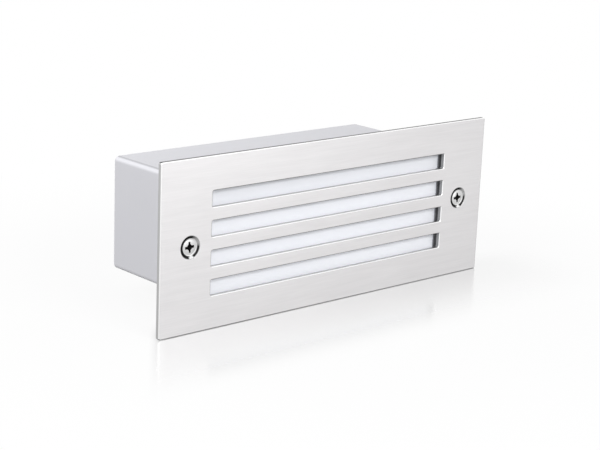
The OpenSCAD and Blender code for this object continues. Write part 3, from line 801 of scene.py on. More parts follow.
class Shape:
    """A mesh in the making, in millimetres."""

    def __init__(self) -> None:
        """Starts with nothing."""
        self.bm = bmesh.new()

    def stack(self, rings: Sequence[Ring], closed: bool = False, caps: bool = True) -> list[list[Edge]]:
        """Joins rings of equal count into a skin.

        Args:
            rings: the rings in order.
            closed: whether the last ring joins the first, as round a bore.
            caps: whether the two end rings are filled, where the stack isn't closed.

        Returns:
            The edges of the first ring and of the last ring.
        """
        verts = bmesh.ops.create_circle(self.bm, segments=len(rings[0]), radius=1.0)["verts"]
        self._lay(verts, rings[0])
        first = list({edge for vert in verts for edge in vert.link_edges})
        edges = first
        for ring in rings[1:]:
            grown = bmesh.ops.extrude_edge_only(self.bm, edges=edges)["geom"]
            fresh = set(only(Vert, grown))
            verts = [self._partner(vert, fresh) for vert in verts]
            self._lay(verts, ring)
            edges = [edge for edge in only(Edge, grown) if set(edge.verts) <= fresh]
        if closed:
            bmesh.ops.bridge_loops(self.bm, edges=first + edges)
        elif caps:
            self.fill(first)
            self.fill(edges)
        return [first, edges]

    @staticmethod
    def _lay(verts: Sequence[Vert], ring: Ring) -> None:
        """Puts vertices on a ring's points."""
        for vert, place in zip(verts, ring):
            vert.co = place

    @staticmethod
    def _partner(vert: Vert, fresh: set) -> Vert:
        """The new vertex that was pulled out of an old one."""
        return next(edge.other_vert(vert) for edge in vert.link_edges if edge.other_vert(vert) in fresh)

    def rounds(self, stations: Sequence[Pair], sides: int, x: float = 0, z: float = 0, **how: bool) -> list:
        """Stacks circles about a Y axis, from pairs of radius and Y; how is as for stack."""
        return self.stack([round_ring(radius, y, sides, x, z) for radius, y in stations], **how)

    def pit(self, stations: Sequence[Pair], sides: int, x: float = 0, z: float = 0) -> list[Edge]:
        """Stacks circles, fills the last one and gives the edges of the first one."""
        mouth, end = self.rounds(stations, sides, x, z, caps=False)
        self.fill(end)
        return mouth

    def loop(self, ring: Ring) -> list[Edge]:
        """A closed loop of edges with no face."""
        return self.stack([ring], caps=False)[0]

    def fill(self, edges: Sequence[Edge]) -> list[Face]:
        """Fills a flat outline, with any loops inside it left as holes."""
        return only(Face, bmesh.ops.triangle_fill(self.bm, use_beauty=True, edges=edges)["geom"])

    def thicken(self, faces: Sequence[Face], depth: float) -> list[Face]:
        """Pulls a flat sheet out along Y, and gives the pulled faces."""
        grown = bmesh.ops.extrude_face_region(self.bm, geom=faces)["geom"]
        bmesh.ops.translate(self.bm, vec=(0, depth, 0), verts=only(Vert, grown))
        return only(Face, grown)

    def thread(self, start: float, end: float, core: float, crest: float, pitch: float) -> None:
        """A screw thread's ridge about the Y axis through the origin.

        Args:
            start: where it begins.
            end: where it ends.
            core: radius at its root.
            crest: radius at its crest.
            pitch: length of one turn.
        """
        per_turn = 20
        turns = int((end - start) / pitch - 1)
        root = core - (crest - core) / 2
        half = pitch * 0.42
        corners = ((root, start), (crest, start + half), (root, start + 2 * half))
        verts = [self.bm.verts.new((radius, y, 0)) for radius, y in corners]
        section = [self.bm.edges.new(pair) for pair in zip(verts, verts[1:] + verts[:1])]
        swept = bmesh.ops.spin(
            self.bm, geom=verts + section, cent=(0, 0, 0), axis=(0, 1, 0),
            dvec=(0, pitch / per_turn, 0), angle=FULL_TURN * turns, steps=per_turn * turns,
            use_merge=False, use_duplicate=False,
        )["geom_last"]
        for end_edges in (section, only(Edge, swept)):
            bmesh.ops.contextual_create(self.bm, geom=end_edges)

    def move(self, shift: Point) -> None:
        """Moves all of it."""
        bmesh.ops.translate(self.bm, vec=shift, verts=self.bm.verts)

    def turn(self, degrees: float) -> None:
        """Turns all of it about the Y axis through the origin."""
        matrix = Matrix.Rotation(math.radians(degrees), 3, "Y")
        bmesh.ops.rotate(self.bm, cent=(0, 0, 0), matrix=matrix, verts=self.bm.verts)

    def repeat(self, places: Sequence[Point]) -> None:
        """Sets a copy of what there is at each place, in place of the first one."""
        geom = self.bm.verts[:] + self.bm.edges[:] + self.bm.faces[:]
        for place in places[1:]:
            copied = bmesh.ops.duplicate(self.bm, geom=geom)["geom"]
            bmesh.ops.translate(self.bm, vec=place, verts=only(Vert, copied))
        bmesh.ops.translate(self.bm, vec=places[0], verts=only(Vert, geom))

    def paint(self, slot_of: Callable[[Face], int]) -> None:
        """Gives each face the number of its finish."""
        self.bm.normal_update()
        for face in self.bm.faces:
            face.material_index = slot_of(face)

    def close(self) -> None:
        """Merges doubles and turns every face outwards."""
        bmesh.ops.remove_doubles(self.bm, verts=self.bm.verts, dist=0.001)
        bmesh.ops.dissolve_degenerate(self.bm, dist=0.0005, edges=self.bm.edges)
        bmesh.ops.recalc_face_normals(self.bm, faces=self.bm.faces)

    def mesh(self, name: str) -> bpy.types.Mesh:
        """The shape as a mesh in the same lengths; the shape is used up."""
        made = bpy.data.meshes.new(name)
        self.bm.to_mesh(made)
        self.bm.free()
        return made

    def in_metres(self, name: str) -> bpy.types.Mesh:
        """The shape as a mesh in metres; the shape is used up."""
        bmesh.ops.scale(self.bm, vec=(MM, MM, MM), verts=self.bm.verts)
        return self.mesh(name)

    def join(self, other: "Shape") -> None:
        """Adds another closed shape, and uses it up."""
        mesh = other.mesh("joined")
        self.bm.from_mesh(mesh)
        bpy.data.meshes.remove(mesh)


@dataclass(frozen=True)
class Piece:
    """What a finished shape is called, and what it stands for.

    Args:
        name: the piece's name.
        body: the body that it rides on.
        slot: the record's material slot; not used.
        nodes: the nodes that it replaces.
        finishes: its finishes, in the order of the shape's slots.
        sharp: the angle in degrees from which an edge stays sharp.
    """

    name: str
    body: Body
    slot: str
    nodes: tuple[str, ...]
    finishes: tuple[Finish, ...]
    sharp: float = 35.0

    def made_of(self, shape: Shape) -> None:
        """Turns a closed shape into the piece, and uses the shape up."""
        open_edges = sum(not edge.is_manifold for edge in shape.bm.edges)
        mesh = shape.in_metres(self.name)
        for finish in self.finishes:
            mesh.materials.append(finish.material())
        mesh.shade_smooth()
        mesh.set_sharp_from_angle(angle=math.radians(self.sharp))
        made = placed(self.name, mesh)
        made.modifiers.new("even_normals", "WEIGHTED_NORMAL").keep_sharp = True
        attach(made, self.body.value)
        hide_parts(*self.nodes)
        log.info("%s: %d faces, %d open edges", self.name, len(mesh.polygons), open_edges)


# The cover: faceplate, seal and screws


PLATE_FINISHES = (
    BRUSHED_PLATE, SLOT_WALL, SLOT_END_PAINTED_SHADE, LONG_EDGE_PAINTED_SHADE, SIDE_EDGE, RIM_PAINTED_HIGHLIGHT, RIM_PAINTED_SHADE, SINK_SHADE_AND_GLINTS, SINK_RIM,
    FOOT_RIM_PAINTED_SHADE, SIDE_RIM_PAINTED_HIGHLIGHT,
)


@dataclass
class Cover:
    """The faceplate with its light slots and countersinks, and the seal on its back.

    The lips are how far a slot's long edges stand into its full height.
    """

    plate: Span = box_of("faceplate")
    seal: Span = box_of("wall_seal")
    left: Span = box_of("face_screw_left")
    right: Span = box_of("face_screw_right")
    slot_width: float = 148.0
    slot_height: float = 8.5
    slot_pitch: float = 13.7
    slot_count: int = 4
    slot_corner: float = 0.8
    upper_lip: float = 0.62
    lower_lip: float = 0.34
    plate_corner: float = 1.0
    rim: float = 0.34
    rim_steps: int = 3
    sink_radius: float = 5.2
    sink_sides: int = 72
    seal_band: float = 4.0
    seal_corner: float = 0.6
    seal_soft: float = 0.25

    @property
    def holes(self) -> list[Vector]:
        """The centres of the two countersinks."""
        return [self.left.middle, self.right.middle]

    @staticmethod
    def from_hole(place: Vector, hole: Vector) -> float:
        """How far a place is from a hole's axis."""
        return math.hypot(place.x - hole.x, place.z - hole.z)

    def build_plate(self) -> None:
        """Fills the plate's outline round its openings, thickens it and rounds its front edges."""
        shape = Shape()
        size, back = self.plate.size, self.plate.high.y
        loops = shape.loop(box_ring(size.x, size.z, self.plate_corner, back))
        clear = self.slot_height - self.upper_lip - self.lower_lip
        drop = (self.upper_lip - self.lower_lip) / 2
        for row in range(self.slot_count):
            height = (row - (self.slot_count - 1) / 2) * self.slot_pitch
            loops += shape.loop(box_ring(self.slot_width, clear, self.slot_corner, back, z=height - drop))
        for hole in self.holes:
            loops += shape.loop(round_ring(self.sink_radius, back, self.sink_sides, hole.x, hole.z))
        grown = shape.thicken(shape.fill(loops), self.plate.low.y + self.rim - back)
        self.round_front(shape, grown)
        self.open_sinks(shape)
        shape.close()
        shape.paint(lambda face: PLATE_FINISHES.index(self.finish_of(face)))
        Piece("slotted_faceplate", Body.COVER, "brushed_plate", ("faceplate",), PLATE_FINISHES).made_of(shape)

    def round_front(self, shape: Shape, faces: Sequence[Face]) -> None:
        """Rounds the front edges, in steps of a quarter circle."""
        bmesh.ops.recalc_face_normals(shape.bm, faces=shape.bm.faces)
        for step in range(self.rim_steps):
            here, there = (QUARTER_TURN * share / self.rim_steps for share in (step, step + 1))
            bmesh.ops.inset_region(
                shape.bm, faces=faces, use_boundary=True, use_even_offset=True,
                thickness=self.rim * (math.cos(here) - math.cos(there)),
                depth=self.rim * (math.sin(there) - math.sin(here)),
            )

    def open_sinks(self, shape: Shape) -> None:
        """Draws each hole in at the back, so that it becomes a countersink."""
        back, reach = self.plate.high.y, self.sink_radius + 1
        narrow = (self.sink_radius - self.plate.size.y) / self.sink_radius
        for hole in self.holes:
            at_back = (vert for vert in shape.bm.verts if abs(vert.co.y - back) < self.rim)
            bmesh.ops.transform(
                shape.bm, matrix=Matrix.Diagonal((narrow, 1, narrow, 1)),
                space=Matrix.Translation(-Vector((hole.x, 0, hole.z))),
                verts=[vert for vert in at_back if self.from_hole(vert.co, hole) < reach],
            )

    def finish_of(self, face: Face) -> Finish:
        """The finish of one face of the plate: cone, rounded rim, wall or flat face."""
        centre, normal, low, high = face.calc_center_median(), face.normal, self.plate.low, self.plate.high
        near = min(self.from_hole(centre, hole) for hole in self.holes)
        # The countersink cone takes the gap's painted shade and glints.
        if near < self.sink_radius + self.rim / 4 and centre.y > low.y + self.rim / 2:
            return SINK_SHADE_AND_GLINTS
        if -0.98 < normal.y < -0.1:
            if near < self.sink_radius + 2 * self.rim:
                return SINK_RIM
            # Rim colours are painted light: a near black copy along the foot, a lighter copy along the left
            # end, and elsewhere a lit copy where the rim faces up or left and a shaded copy where it faces
            # down or right.
            if centre.z < low.z + 2 * self.rim:
                return FOOT_RIM_PAINTED_SHADE
            if centre.x < low.x + 2 * self.rim:
                return SIDE_RIM_PAINTED_HIGHLIGHT
            return RIM_PAINTED_HIGHLIGHT if normal.z - normal.x > 0 else RIM_PAINTED_SHADE
        # Cut walls take a lighter or darker copy by where they face and whether they are in a slot: painted
        # shade.
        if abs(normal.y) < 0.1:
            in_slot = abs(centre.x) < high.x - 1 and abs(centre.z) < high.z - 1
            sideways = abs(normal.x) > abs(normal.z)
            return ((LONG_EDGE_PAINTED_SHADE, SIDE_EDGE), (SLOT_WALL, SLOT_END_PAINTED_SHADE))[in_slot][sideways]
        return BRUSHED_PLATE

    def build_seal(self) -> None:
        """The foam ring stuck on the back of the plate."""
        shape = Shape()
        size, front, back = self.seal.size, self.seal.low.y, self.seal.high.y
        band, soft = self.seal_band, self.seal_soft
        stations = (
            (0, front), (0, back - soft), (soft, back),
            (band - soft, back), (band, back - soft), (band, front),
        )
        shape.stack([
            box_ring(size.x - 2 * inset, size.z - 2 * inset, self.seal_corner, y, 3) for inset, y in stations
        ], closed=True)
        shape.close()
        Piece("foam_seal", Body.COVER, "foam_rubber", ("wall_seal",), (FOAM,)).made_of(shape)

    def build(self) -> None:
        """Builds the plate and its seal."""
        self.build_plate()
        self.build_seal()


@dataclass
class FaceScrew:
    """A countersunk screw with a four-armed recess.

    Args:
        name: the piece's name.
        node: the node that it replaces.
        body: the body that it rides on.
        turned: how far it stands turned, in degrees.
        recess: from the bottom up, how far the outline is let out and how deep it lies.
        groove: the radius and depth of each edge of the fine groove round the recess.
    """

    name: str
    node: str
    body: Body
    turned: float
    head_radius: float = 4.65
    rim_round: float = 0.21
    rim_steps: int = 6
    rim_sweep: float = math.radians(135)
    thread_radius: float = 2.45
    core_radius: float = 2.05
    pitch: float = 0.8
    recess_reach: float = 2.42
    upright_arm: float = 0.50
    level_arm: float = 0.60
    star_power: float = 0.72
    recess: tuple[Pair, ...] = ((-1.25, 2.0), (-0.45, 1.2), (-0.10, 0.16), (0.08, 0.0))
    groove: tuple[Pair, ...] = ((3.35, 0.0), (3.43, 0.05), (3.59, 0.05), (3.67, 0.0))
    tip_chamfer: float = 0.5
    sides: int = 96

    def star(self, grow: float) -> Callable[[float], float]:
        """The recess's outline, let out by so much: four arms with hollow flanks."""
        power = self.star_power

        def radius_at(angle: float) -> float:
            """The larger of the hollow star and the straight arms."""
            level = abs(math.cos(angle)) > abs(math.sin(angle))
            across, along = sorted((abs(math.cos(angle)), abs(math.sin(angle))))
            hollow = self.recess_reach / (across ** power + along ** power) ** (1 / power)
            half = self.level_arm if level else self.upright_arm
            arm = min(self.recess_reach / along, half / max(across, 0.001))
            return max(arm, hollow) + grow

        return radius_at

    def build(self) -> None:
        """Stacks rings from the bottom of the recess, over the head and down to the tip."""
        span = Span.of(self.node)
        top, tip = span.low.y, span.high.y
        flat = self.head_radius - self.rim_round * (1 + math.sqrt(2))
        stations = [(radius, top + depth) for radius, depth in self.groove]
        for step in range(self.rim_steps + 1):
            angle = self.rim_sweep * step / self.rim_steps
            radius = flat + self.rim_round * math.sin(angle)
            stations.append((radius, top + self.rim_round * (1 - math.cos(angle))))
        core, chamfer = self.core_radius, self.tip_chamfer
        cone_end = top + self.head_radius - core
        stations += [(core, cone_end), (core, tip - chamfer), (core - chamfer, tip)]
        rings = [ring_of(self.star(grow), top + depth, self.sides) for grow, depth in self.recess]
        rings += [round_ring(radius, y, self.sides) for radius, y in stations]
        shape = Shape()
        shape.stack(rings)
        shape.paint(lambda face: self.slot_of(face.calc_center_median(), top, flat))
        shape.thread(cone_end - 0.4, tip - 0.1, core, self.thread_radius, self.pitch)
        shape.close()
        shape.turn(self.turned)
        shape.move((span.middle.x, 0, span.middle.z))
        # The recess is painted near black as shade, and the head's rim takes the gap's painted shade and
        # glints.
        finishes = (SCREW_FACE, SCREW_RECESS_SHADE, SCREW_THREAD, SINK_SHADE_AND_GLINTS)
        Piece(self.name, self.body, "face_screw_steel", (self.node,), finishes).made_of(shape)

    def slot_of(self, centre: Vector, top: float, flat: float) -> int:
        """The slot of a face from its centre: 1 in the recess, painted shade; 3 past the flat disc, the gap's
        painted shade and glints; 2 below the head.
        """
        radius = math.hypot(centre.x, centre.z)
        deepest = top + self.recess[0][1] + 0.01
        if radius < self.recess_reach + 0.1 and top + 0.01 < centre.y <= deepest:
            return 1
        if radius > flat + 0.02:
            return 3
        return 2 if centre.y > top + self.rim_round * 1.8 else 0


# The lamp house: housing, gasket and diffuser


@dataclass(frozen=True)
class Boss:
    """A bored boss on the inside of the back wall.

    Args:
        radius: its radius.
        flare: how far its foot spreads.
        bore: radius of its hole.
        depth: depth of its hole.
        nick: how far its top edge is taken off.
    """

    radius: float
    flare: float
    bore: float
    depth: float
    nick: float = 0.3

    def rise(self, shape: Shape, place: Pair, foot: float, top: float) -> list[Edge]:
        """Raises it at a place, and gives the edges round its foot."""
        wide, bore = self.radius, self.bore
        stations = (
            (wide + self.flare, foot), (wide, foot - self.flare), (wide, top + self.nick),
            (wide - self.nick, top), (bore, top), (bore, top + self.depth),
        )
        return shape.pit(stations, 32, *place)


@dataclass
class LampHouse:
    """The cast box, its front gasket and the opal diffuser."""

    shell: Span = box_of("housing")
    gasket: Span = box_of("front_gasket")
    diffuser: Span = box_of("diffuser")
    left_screw: Span = box_of("face_screw_left")
    gland: Span = box_of("gland_body")
    box_width: float = 157.0
    edge_radius: float = 2.5
    back_edge_radius: float = 1.3
    edge_steps: int = 8
    least_corner: float = 0.02
    wall: float = 3.0
    rim_width: float = 1.3
    rim_nick: float = 0.25
    rebate_depth: float = 3.0
    cavity_radius: float = 1.25
    ear_radius: float = 6.0
    ear_thickness: float = 5.0
    ear_root: float = 0.3
    ear_nick: float = 0.4
    ear_step: float = 0.001
    boss_radius: float = 5.0
    boss_depth: float = 10.0
    screw_hole: float = 2.5
    pillar: Boss = Boss(3.2, 0.8, 1.5, 10.0)
    pillar_inset: float = 7.5
    pillar_top: float = 35.0
    earth_boss: Boss = Boss(4.0, 0.6, 2.0, 7.0)
    earth_place: Pair = (8.0, -17.0)
    earth_rise: float = 5.0
    fixing_spacing: float = 60.0
    fixing_radius: float = 2.25
    gland_hole: float = 8.1
    hole_nick: float = 0.35
    soft: float = 0.3
    gasket_clearance: float = 0.3
    gasket_row_clearance: float = 1.1
    gasket_hole: float = 3.65
    gasket_corners: Pair = (0.8, 0.6)
    diffuser_corners: Pair = (0.8, 1.0)

    @property
    def screw_x(self) -> float:
        """How far each screw's axis is from the middle."""
        return abs(self.left_screw.middle.x)

    def outline(self, inset: float, y: float, corner: Optional[float] = None) -> Ring:
        """The box's outline drawn in by an inset; its corners shrink with it, unless they are given."""
        if corner is None:
            corner = max(self.edge_radius - inset, self.least_corner)
        width, height = self.box_width - 2 * inset, self.shell.size.z - 2 * inset
        return box_ring(width, height, corner, y, self.edge_steps)

    def build_shell(self) -> None:
        """The casting: walls with rounded outer edges, holes, pillars and screw ears."""
        shape = Shape()
        front, back = self.shell.low.y, self.shell.high.y
        inner_back = back - self.wall
        rebate_y = front + self.rebate_depth
        rings = []
        for step in range(self.edge_steps + 1):
            angle = QUARTER_TURN * step / self.edge_steps
            inset = self.back_edge_radius * (1 - math.sin(angle))
            rings.append(self.outline(inset, back - self.back_edge_radius * (1 - math.cos(angle))))
        rings += [
            self.outline(0, front + self.rim_nick),
            self.outline(self.rim_nick, front, self.edge_radius - self.rim_nick),
            self.outline(self.rim_width, front),
            self.outline(self.rim_width, rebate_y),
            self.outline(self.wall, rebate_y, self.cavity_radius),
            self.outline(self.wall, inner_back, self.cavity_radius),
        ]
        outside, inside = shape.stack(rings, caps=False)
        self.bore_back(shape, outside, inside, inner_back)
        shape.close()
        self.add_ears(shape)
        finishes = (CASTING_PAINT_WITH_PAINTED_EDGE_LIGHT,)
        Piece("cast_housing", Body.LIGHT, "grey_casting_paint", ("housing",), finishes).made_of(shape)

    def bore_back(self, shape: Shape, outside: list[Edge], inside: list[Edge], inner_back: float) -> None:
        """Closes both faces of the back wall round its holes, and raises the pillars.

        Args:
            shape: the box's skin.
            outside: the edges round the outer back face.
            inside: the edges round the inner back face.
            inner_back: where the inner back face lies.
        """
        back, nick = self.shell.high.y, self.hole_nick
        fixing_x = self.fixing_spacing / 2
        holes = [(side * fixing_x, self.fixing_radius) for side in (-1, 1)]
        holes.append((self.gland.middle.x, self.gland_hole))
        for x, radius in holes:
            stations = ((radius + nick, back), (radius, back - nick), (radius, inner_back))
            outer, inner = shape.rounds(stations, 48, x, caps=False)
            outside += outer
            inside += inner
        half_x = self.box_width / 2 - self.wall - self.pillar_inset
        half_z = self.shell.size.z / 2 - self.wall - self.pillar_inset
        for x in (-half_x, half_x):
            for z in (-half_z, half_z):
                inside += self.pillar.rise(shape, (x, z), inner_back, self.pillar_top)
        inside += self.earth_boss.rise(shape, self.earth_place, inner_back, inner_back - self.earth_rise)
        shape.fill(outside)
        shape.fill(inside)

    def ear_ring(self, side: int, radius: float, y: float) -> Ring:
        """One ear's outline: straight flanks from the box's wall and a round end."""
        root_x = side * (self.box_width / 2 - self.ear_root)
        end = arc(radius, y, -1, 2 * side, 24, side * self.screw_x)
        return end + [Vector((root_x, y, radius)), Vector((root_x, y, -radius))]

    def add_ears(self, shape: Shape) -> None:
        """The screw ears with their tapped bosses."""
        front, nick = self.shell.low.y, self.ear_nick
        start, behind, end = front + self.ear_step, front + self.ear_thickness, front + self.boss_depth
        reach, hole, boss = self.ear_radius, self.screw_hole, self.boss_radius
        flanks = (
            (reach - nick, start), (reach, front + nick), (reach, behind - nick), (reach - nick, behind),
        )
        well = ((hole + nick, start), (hole, front + nick), (hole, end - 1))
        tower = ((boss + nick, behind), (boss, behind + nick), (boss, end - nick), (boss - nick, end))
        for side in (-1, 1):
            ear = Shape()
            near, far = ear.stack([self.ear_ring(side, *station) for station in flanks], caps=False)
            near += ear.pit(well, 40, side * self.screw_x)
            far += ear.pit(tower, 40, side * self.screw_x)
            ear.fill(near)
            ear.fill(far)
            ear.close()
            shape.join(ear)

    def build_gasket(self) -> None:
        """The rubber gasket between the plate and the box, with its two ears."""
        shape = Shape()
        front, back, soft = self.gasket.low.y, self.gasket.high.y, self.soft
        slots = Cover()
        rows = slots.slot_height + (slots.slot_count - 1) * slots.slot_pitch
        opening = (slots.slot_width + 2 * self.gasket_clearance, rows + 2 * self.gasket_row_clearance)
        edges = ((soft, front), (0, front + soft), (0, back - soft), (soft, back))
        near, far = shape.stack([self.gasket_outline(*edge) for edge in edges], caps=False)
        lining = slab_rings(opening, self.gasket_corners, (front, back), -soft, 4)
        holes = [lining]
        for side in (-1, 1):
            holes.append([round_ring(self.gasket_hole, y, 48, side * self.screw_x) for y in (front, back)])
        for rings in holes:
            hole_near, hole_far = shape.stack(rings, caps=False)
            near += hole_near
            far += hole_far
        shape.fill(near)
        shape.fill(far)
        shape.close()
        finishes = (GASKET_RUBBER_PAINTED_LIP,)
        Piece("rubber_gasket", Body.LIGHT, "black_rubber", ("front_gasket",), finishes).made_of(shape)

    def gasket_outline(self, inset: float, y: float) -> Ring:
        """The gasket's outline: the box's front with a round ear at each end."""
        half_x, half_z = self.box_width / 2 - inset, self.shell.size.z / 2 - inset
        corner, radius, quarter = self.edge_radius - inset, self.ear_radius - inset, 6
        points = []
        for side, start in ((1, 0), (-1, 2)):
            points += arc(radius, y, start - 1, 2, 4 * quarter, side * self.screw_x)
            points.append(Vector((side * half_x, y, side * radius)))
            rise = side * (half_z - corner)
            for turn, toward in ((start, side), (start + 1, -side)):
                points += arc(corner, y, turn, 1, quarter, toward * (half_x - corner), rise)
            points.append(Vector((-side * half_x, y, side * radius)))
        return points

    def build_diffuser(self) -> None:
        """The opal sheet, with softened edges."""
        shape = Shape()
        size, ends = self.diffuser.size, (self.diffuser.low.y, self.diffuser.high.y)
        shape.stack(slab_rings((size.x, size.z), self.diffuser_corners, ends, self.soft, 5))
        shape.close()
        Piece("opal_diffuser", Body.LIGHT, "opal_plastic", ("diffuser",), (OPAL_PAINTED_LIGHT,)).made_of(shape)

    def build(self) -> None:
        """Builds the casting, the gasket and the diffuser."""
        self.build_shell()
        self.build_gasket()
        self.build_diffuser()


# The cable gland


@dataclass
class Gland:
    """The cable gland in the back wall."""

    body: Span = box_of("gland_body")
    nut: Span = box_of("gland_dome_nut")
    insert: Span = box_of("gland_insert")
    ring: Span = box_of("gland_seal_ring")
    flats: float = 19.0
    chamfer: float = 0.9
    thread_radius: float = 7.95
    thread_core: float = 7.2
    thread_end: float = 0.2
    pitch: float = 1.5
    flange: float = 4.0
    cable_radius: float = 3.5
    insert_wall: float = 1.6
    insert_clearance: float = 0.1
    neck_nick: float = 0.3
    nut_bore: float = 8.0
    nut_lead_in: float = 0.5
    nut_hexagon: float = 8.0
    nut_shoulder: float = 1.2
    dome_mouth: float = 6.2
    dome_step: float = 0.2
    dome_sweep: float = QUARTER_TURN * 0.92
    dome_steps: int = 6
    lip_nick: float = 0.4
    lip_depth: float = 3.0
    grip_radius: float = 5.3
    ring_hole: float = 8.1
    ring_soft: float = 0.2
    insert_soft: float = 0.3
    insert_taper: Pair = (0.5, 1.0)
    sides: int = 72

    @property
    def axis_x(self) -> float:
        """The gland's place along the box."""
        return self.body.middle.x

    def circles(self, *stations: Pair) -> list[Ring]:
        """Circles about the gland's axis, from pairs of radius and Y."""
        return [round_ring(radius, y, self.sides, self.axis_x) for radius, y in stations]

    def hexagons(self, *stations: Pair) -> list[Ring]:
        """Hexagons about the gland's axis, each cut back to a round limit, from pairs of limit and Y."""
        flat = hex_radius(self.flats)
        return [
            ring_of(lambda angle: min(flat(angle), limit), y, self.sides, self.axis_x)
            for limit, y in stations
        ]

    def build_body(self) -> None:
        """The body: inner thread, hexagonal flange and outer neck."""
        shape = Shape()
        start, end, seat_y = self.body.low.y, self.body.high.y, self.insert.low.y
        flange_y = self.ring.high.y
        flange_end = flange_y + self.flange
        flat, corner, core = self.flats / 2, self.flats / math.sqrt(3), self.thread_core
        bore = self.cable_radius + self.insert_wall / 2
        seat = self.cable_radius + self.insert_wall + self.insert_clearance
        rings = self.circles((bore, start), (core, start), (core, flange_y))
        rings += self.hexagons(
            (flat, flange_y), (corner, flange_y + self.chamfer), (corner, flange_end - self.chamfer),
            (flat, flange_end),
        )
        rings += self.circles(
            (core, flange_end), (core, end - self.neck_nick), (core - self.neck_nick, end), (seat, end),
            (seat, seat_y), (bore, seat_y),
        )
        shape.stack(rings, closed=True)
        shape.close()
        for low, high in ((start, flange_y - self.thread_end), (flange_end + self.thread_end, end)):
            ridge = Shape()
            ridge.thread(low, high, core, self.thread_radius, self.pitch)
            ridge.close()
            ridge.move((self.axis_x, 0, 0))
            shape.join(ridge)
        Piece("gland_body_nylon", Body.LIGHT, "gland_nylon", ("gland_body",), (GLAND_NYLON,)).made_of(shape)

    def build_dome_nut(self) -> None:
        """The dome nut: a chamfered hexagon that runs into a dome round the cable."""
        shape = Shape()
        start, end = self.nut.low.y, self.nut.high.y
        hex_end = start + self.nut_hexagon
        flat, corner, bore = self.flats / 2, self.flats / math.sqrt(3), self.nut_bore
        rings = self.circles((bore, start + self.nut_lead_in), (bore + self.nut_lead_in, start))
        rings += self.hexagons(
            (flat + 0.1, start), (corner, start + self.chamfer), (corner, hex_end - self.nut_shoulder),
            (flat, hex_end),
        )
        foot = flat - self.dome_step - self.dome_mouth
        rise = (end - hex_end) / math.sin(self.dome_sweep)
        for step in range(1, self.dome_steps + 1):
            angle = self.dome_sweep * step / self.dome_steps
            radius = self.dome_mouth + foot * math.cos(angle)
            rings += self.circles((radius, hex_end + rise * math.sin(angle)))
        mouth = self.cable_radius + self.insert_wall / 2
        rings += self.circles(
            (mouth + self.lip_nick, end), (mouth, end - self.lip_nick), (mouth, end - self.lip_depth),
            (self.grip_radius, end - self.lip_depth), (self.grip_radius, hex_end), (bore, hex_end),
        )
        shape.stack(rings, closed=True)
        shape.close()
        finishes = (GLAND_NYLON,)
        Piece("gland_cap_nut", Body.GLAND_NUT, "gland_nylon", ("gland_dome_nut",), finishes).made_of(shape)

    def build_seal(self, name: str, node: str, stations: Sequence[Pair]) -> None:
        """Turns one rubber seal about the gland's axis."""
        shape = Shape()
        shape.stack(self.circles(*stations), closed=True)
        shape.close()
        Piece(name, Body.LIGHT, "black_rubber", (node,), (BLACK_RUBBER,)).made_of(shape)

    def build(self) -> None:
        """Builds every piece of the gland that has a shape of its own here."""
        self.build_body()
        self.build_dome_nut()
        low, high, outer = self.ring.low.y, self.ring.high.y, self.ring.size.x / 2
        hole, soft = self.ring_hole, self.ring_soft
        self.build_seal("gland_washer", "gland_seal_ring", (
            (hole, low), (outer - soft, low), (outer, low + soft), (outer, high - soft),
            (outer - soft, high), (hole, high),
        ))
        start, end, outer = self.insert.low.y, self.insert.high.y, self.insert.size.x / 2
        bore, soft, (across, along) = self.cable_radius, self.insert_soft, self.insert_taper
        self.build_seal("gland_grip", "gland_insert", (
            (bore, start + soft), (bore + soft, start), (outer - soft, start), (outer, start + soft),
            (outer, end - along), (outer - across, end), (bore + across, end), (bore, end - across),
        ))


# The lamp board, the driver and the leads


@dataclass
class LampChips:
    """The chips on the lamp board: pale packages, each with a round well of phosphor."""

    chips: Span = box_of("lamp_chips")
    columns: int = 9
    width: float = 3.5
    height: float = 2.8
    well: float = 1.15
    soft: float = 0.12
    corner_steps: int = 5

    def build(self) -> None:
        """Stacks one package round its well, and repeats it in two rows."""
        shape = Shape()
        low, high, soft = self.chips.low, self.chips.high, self.soft
        count = 4 * (self.corner_steps + 1)
        outlines = ((0, high.y), (0, low.y + soft), (soft, low.y))
        wells = (
            (self.well + soft, low.y), (self.well, low.y + 2 * soft), (self.well / 2, low.y + 1.2 * soft),
        )
        rings = [
            box_ring(self.width - 2 * inset, self.height - 2 * inset, soft, y, self.corner_steps)
            for inset, y in outlines
        ]
        shape.stack(rings + [round_ring(radius, y, count) for radius, y in wells])
        shape.paint(lambda face: self.slot_of(face.calc_center_median()))
        pitch = (self.chips.size.x - self.width) / (self.columns - 1)
        rows = (low.z + self.height / 2, high.z - self.height / 2)
        starts = [low.x + self.width / 2 + column * pitch for column in range(self.columns)]
        shape.repeat([(x, 0, z) for x in starts for z in rows])
        shape.close()
        finishes = (CHIP_PACKAGE, PHOSPHOR)
        Piece("lamp_packages", Body.LIGHT, "lamp_phosphor", ("lamp_chips",), finishes).made_of(shape)

    def slot_of(self, place: Vector) -> int:
        """1 in the first chip's well, and 0 elsewhere."""
        in_well = math.hypot(place.x, place.z) < self.well + self.soft / 4
        return int(in_well and place.y < self.chips.high.y - 0.1)


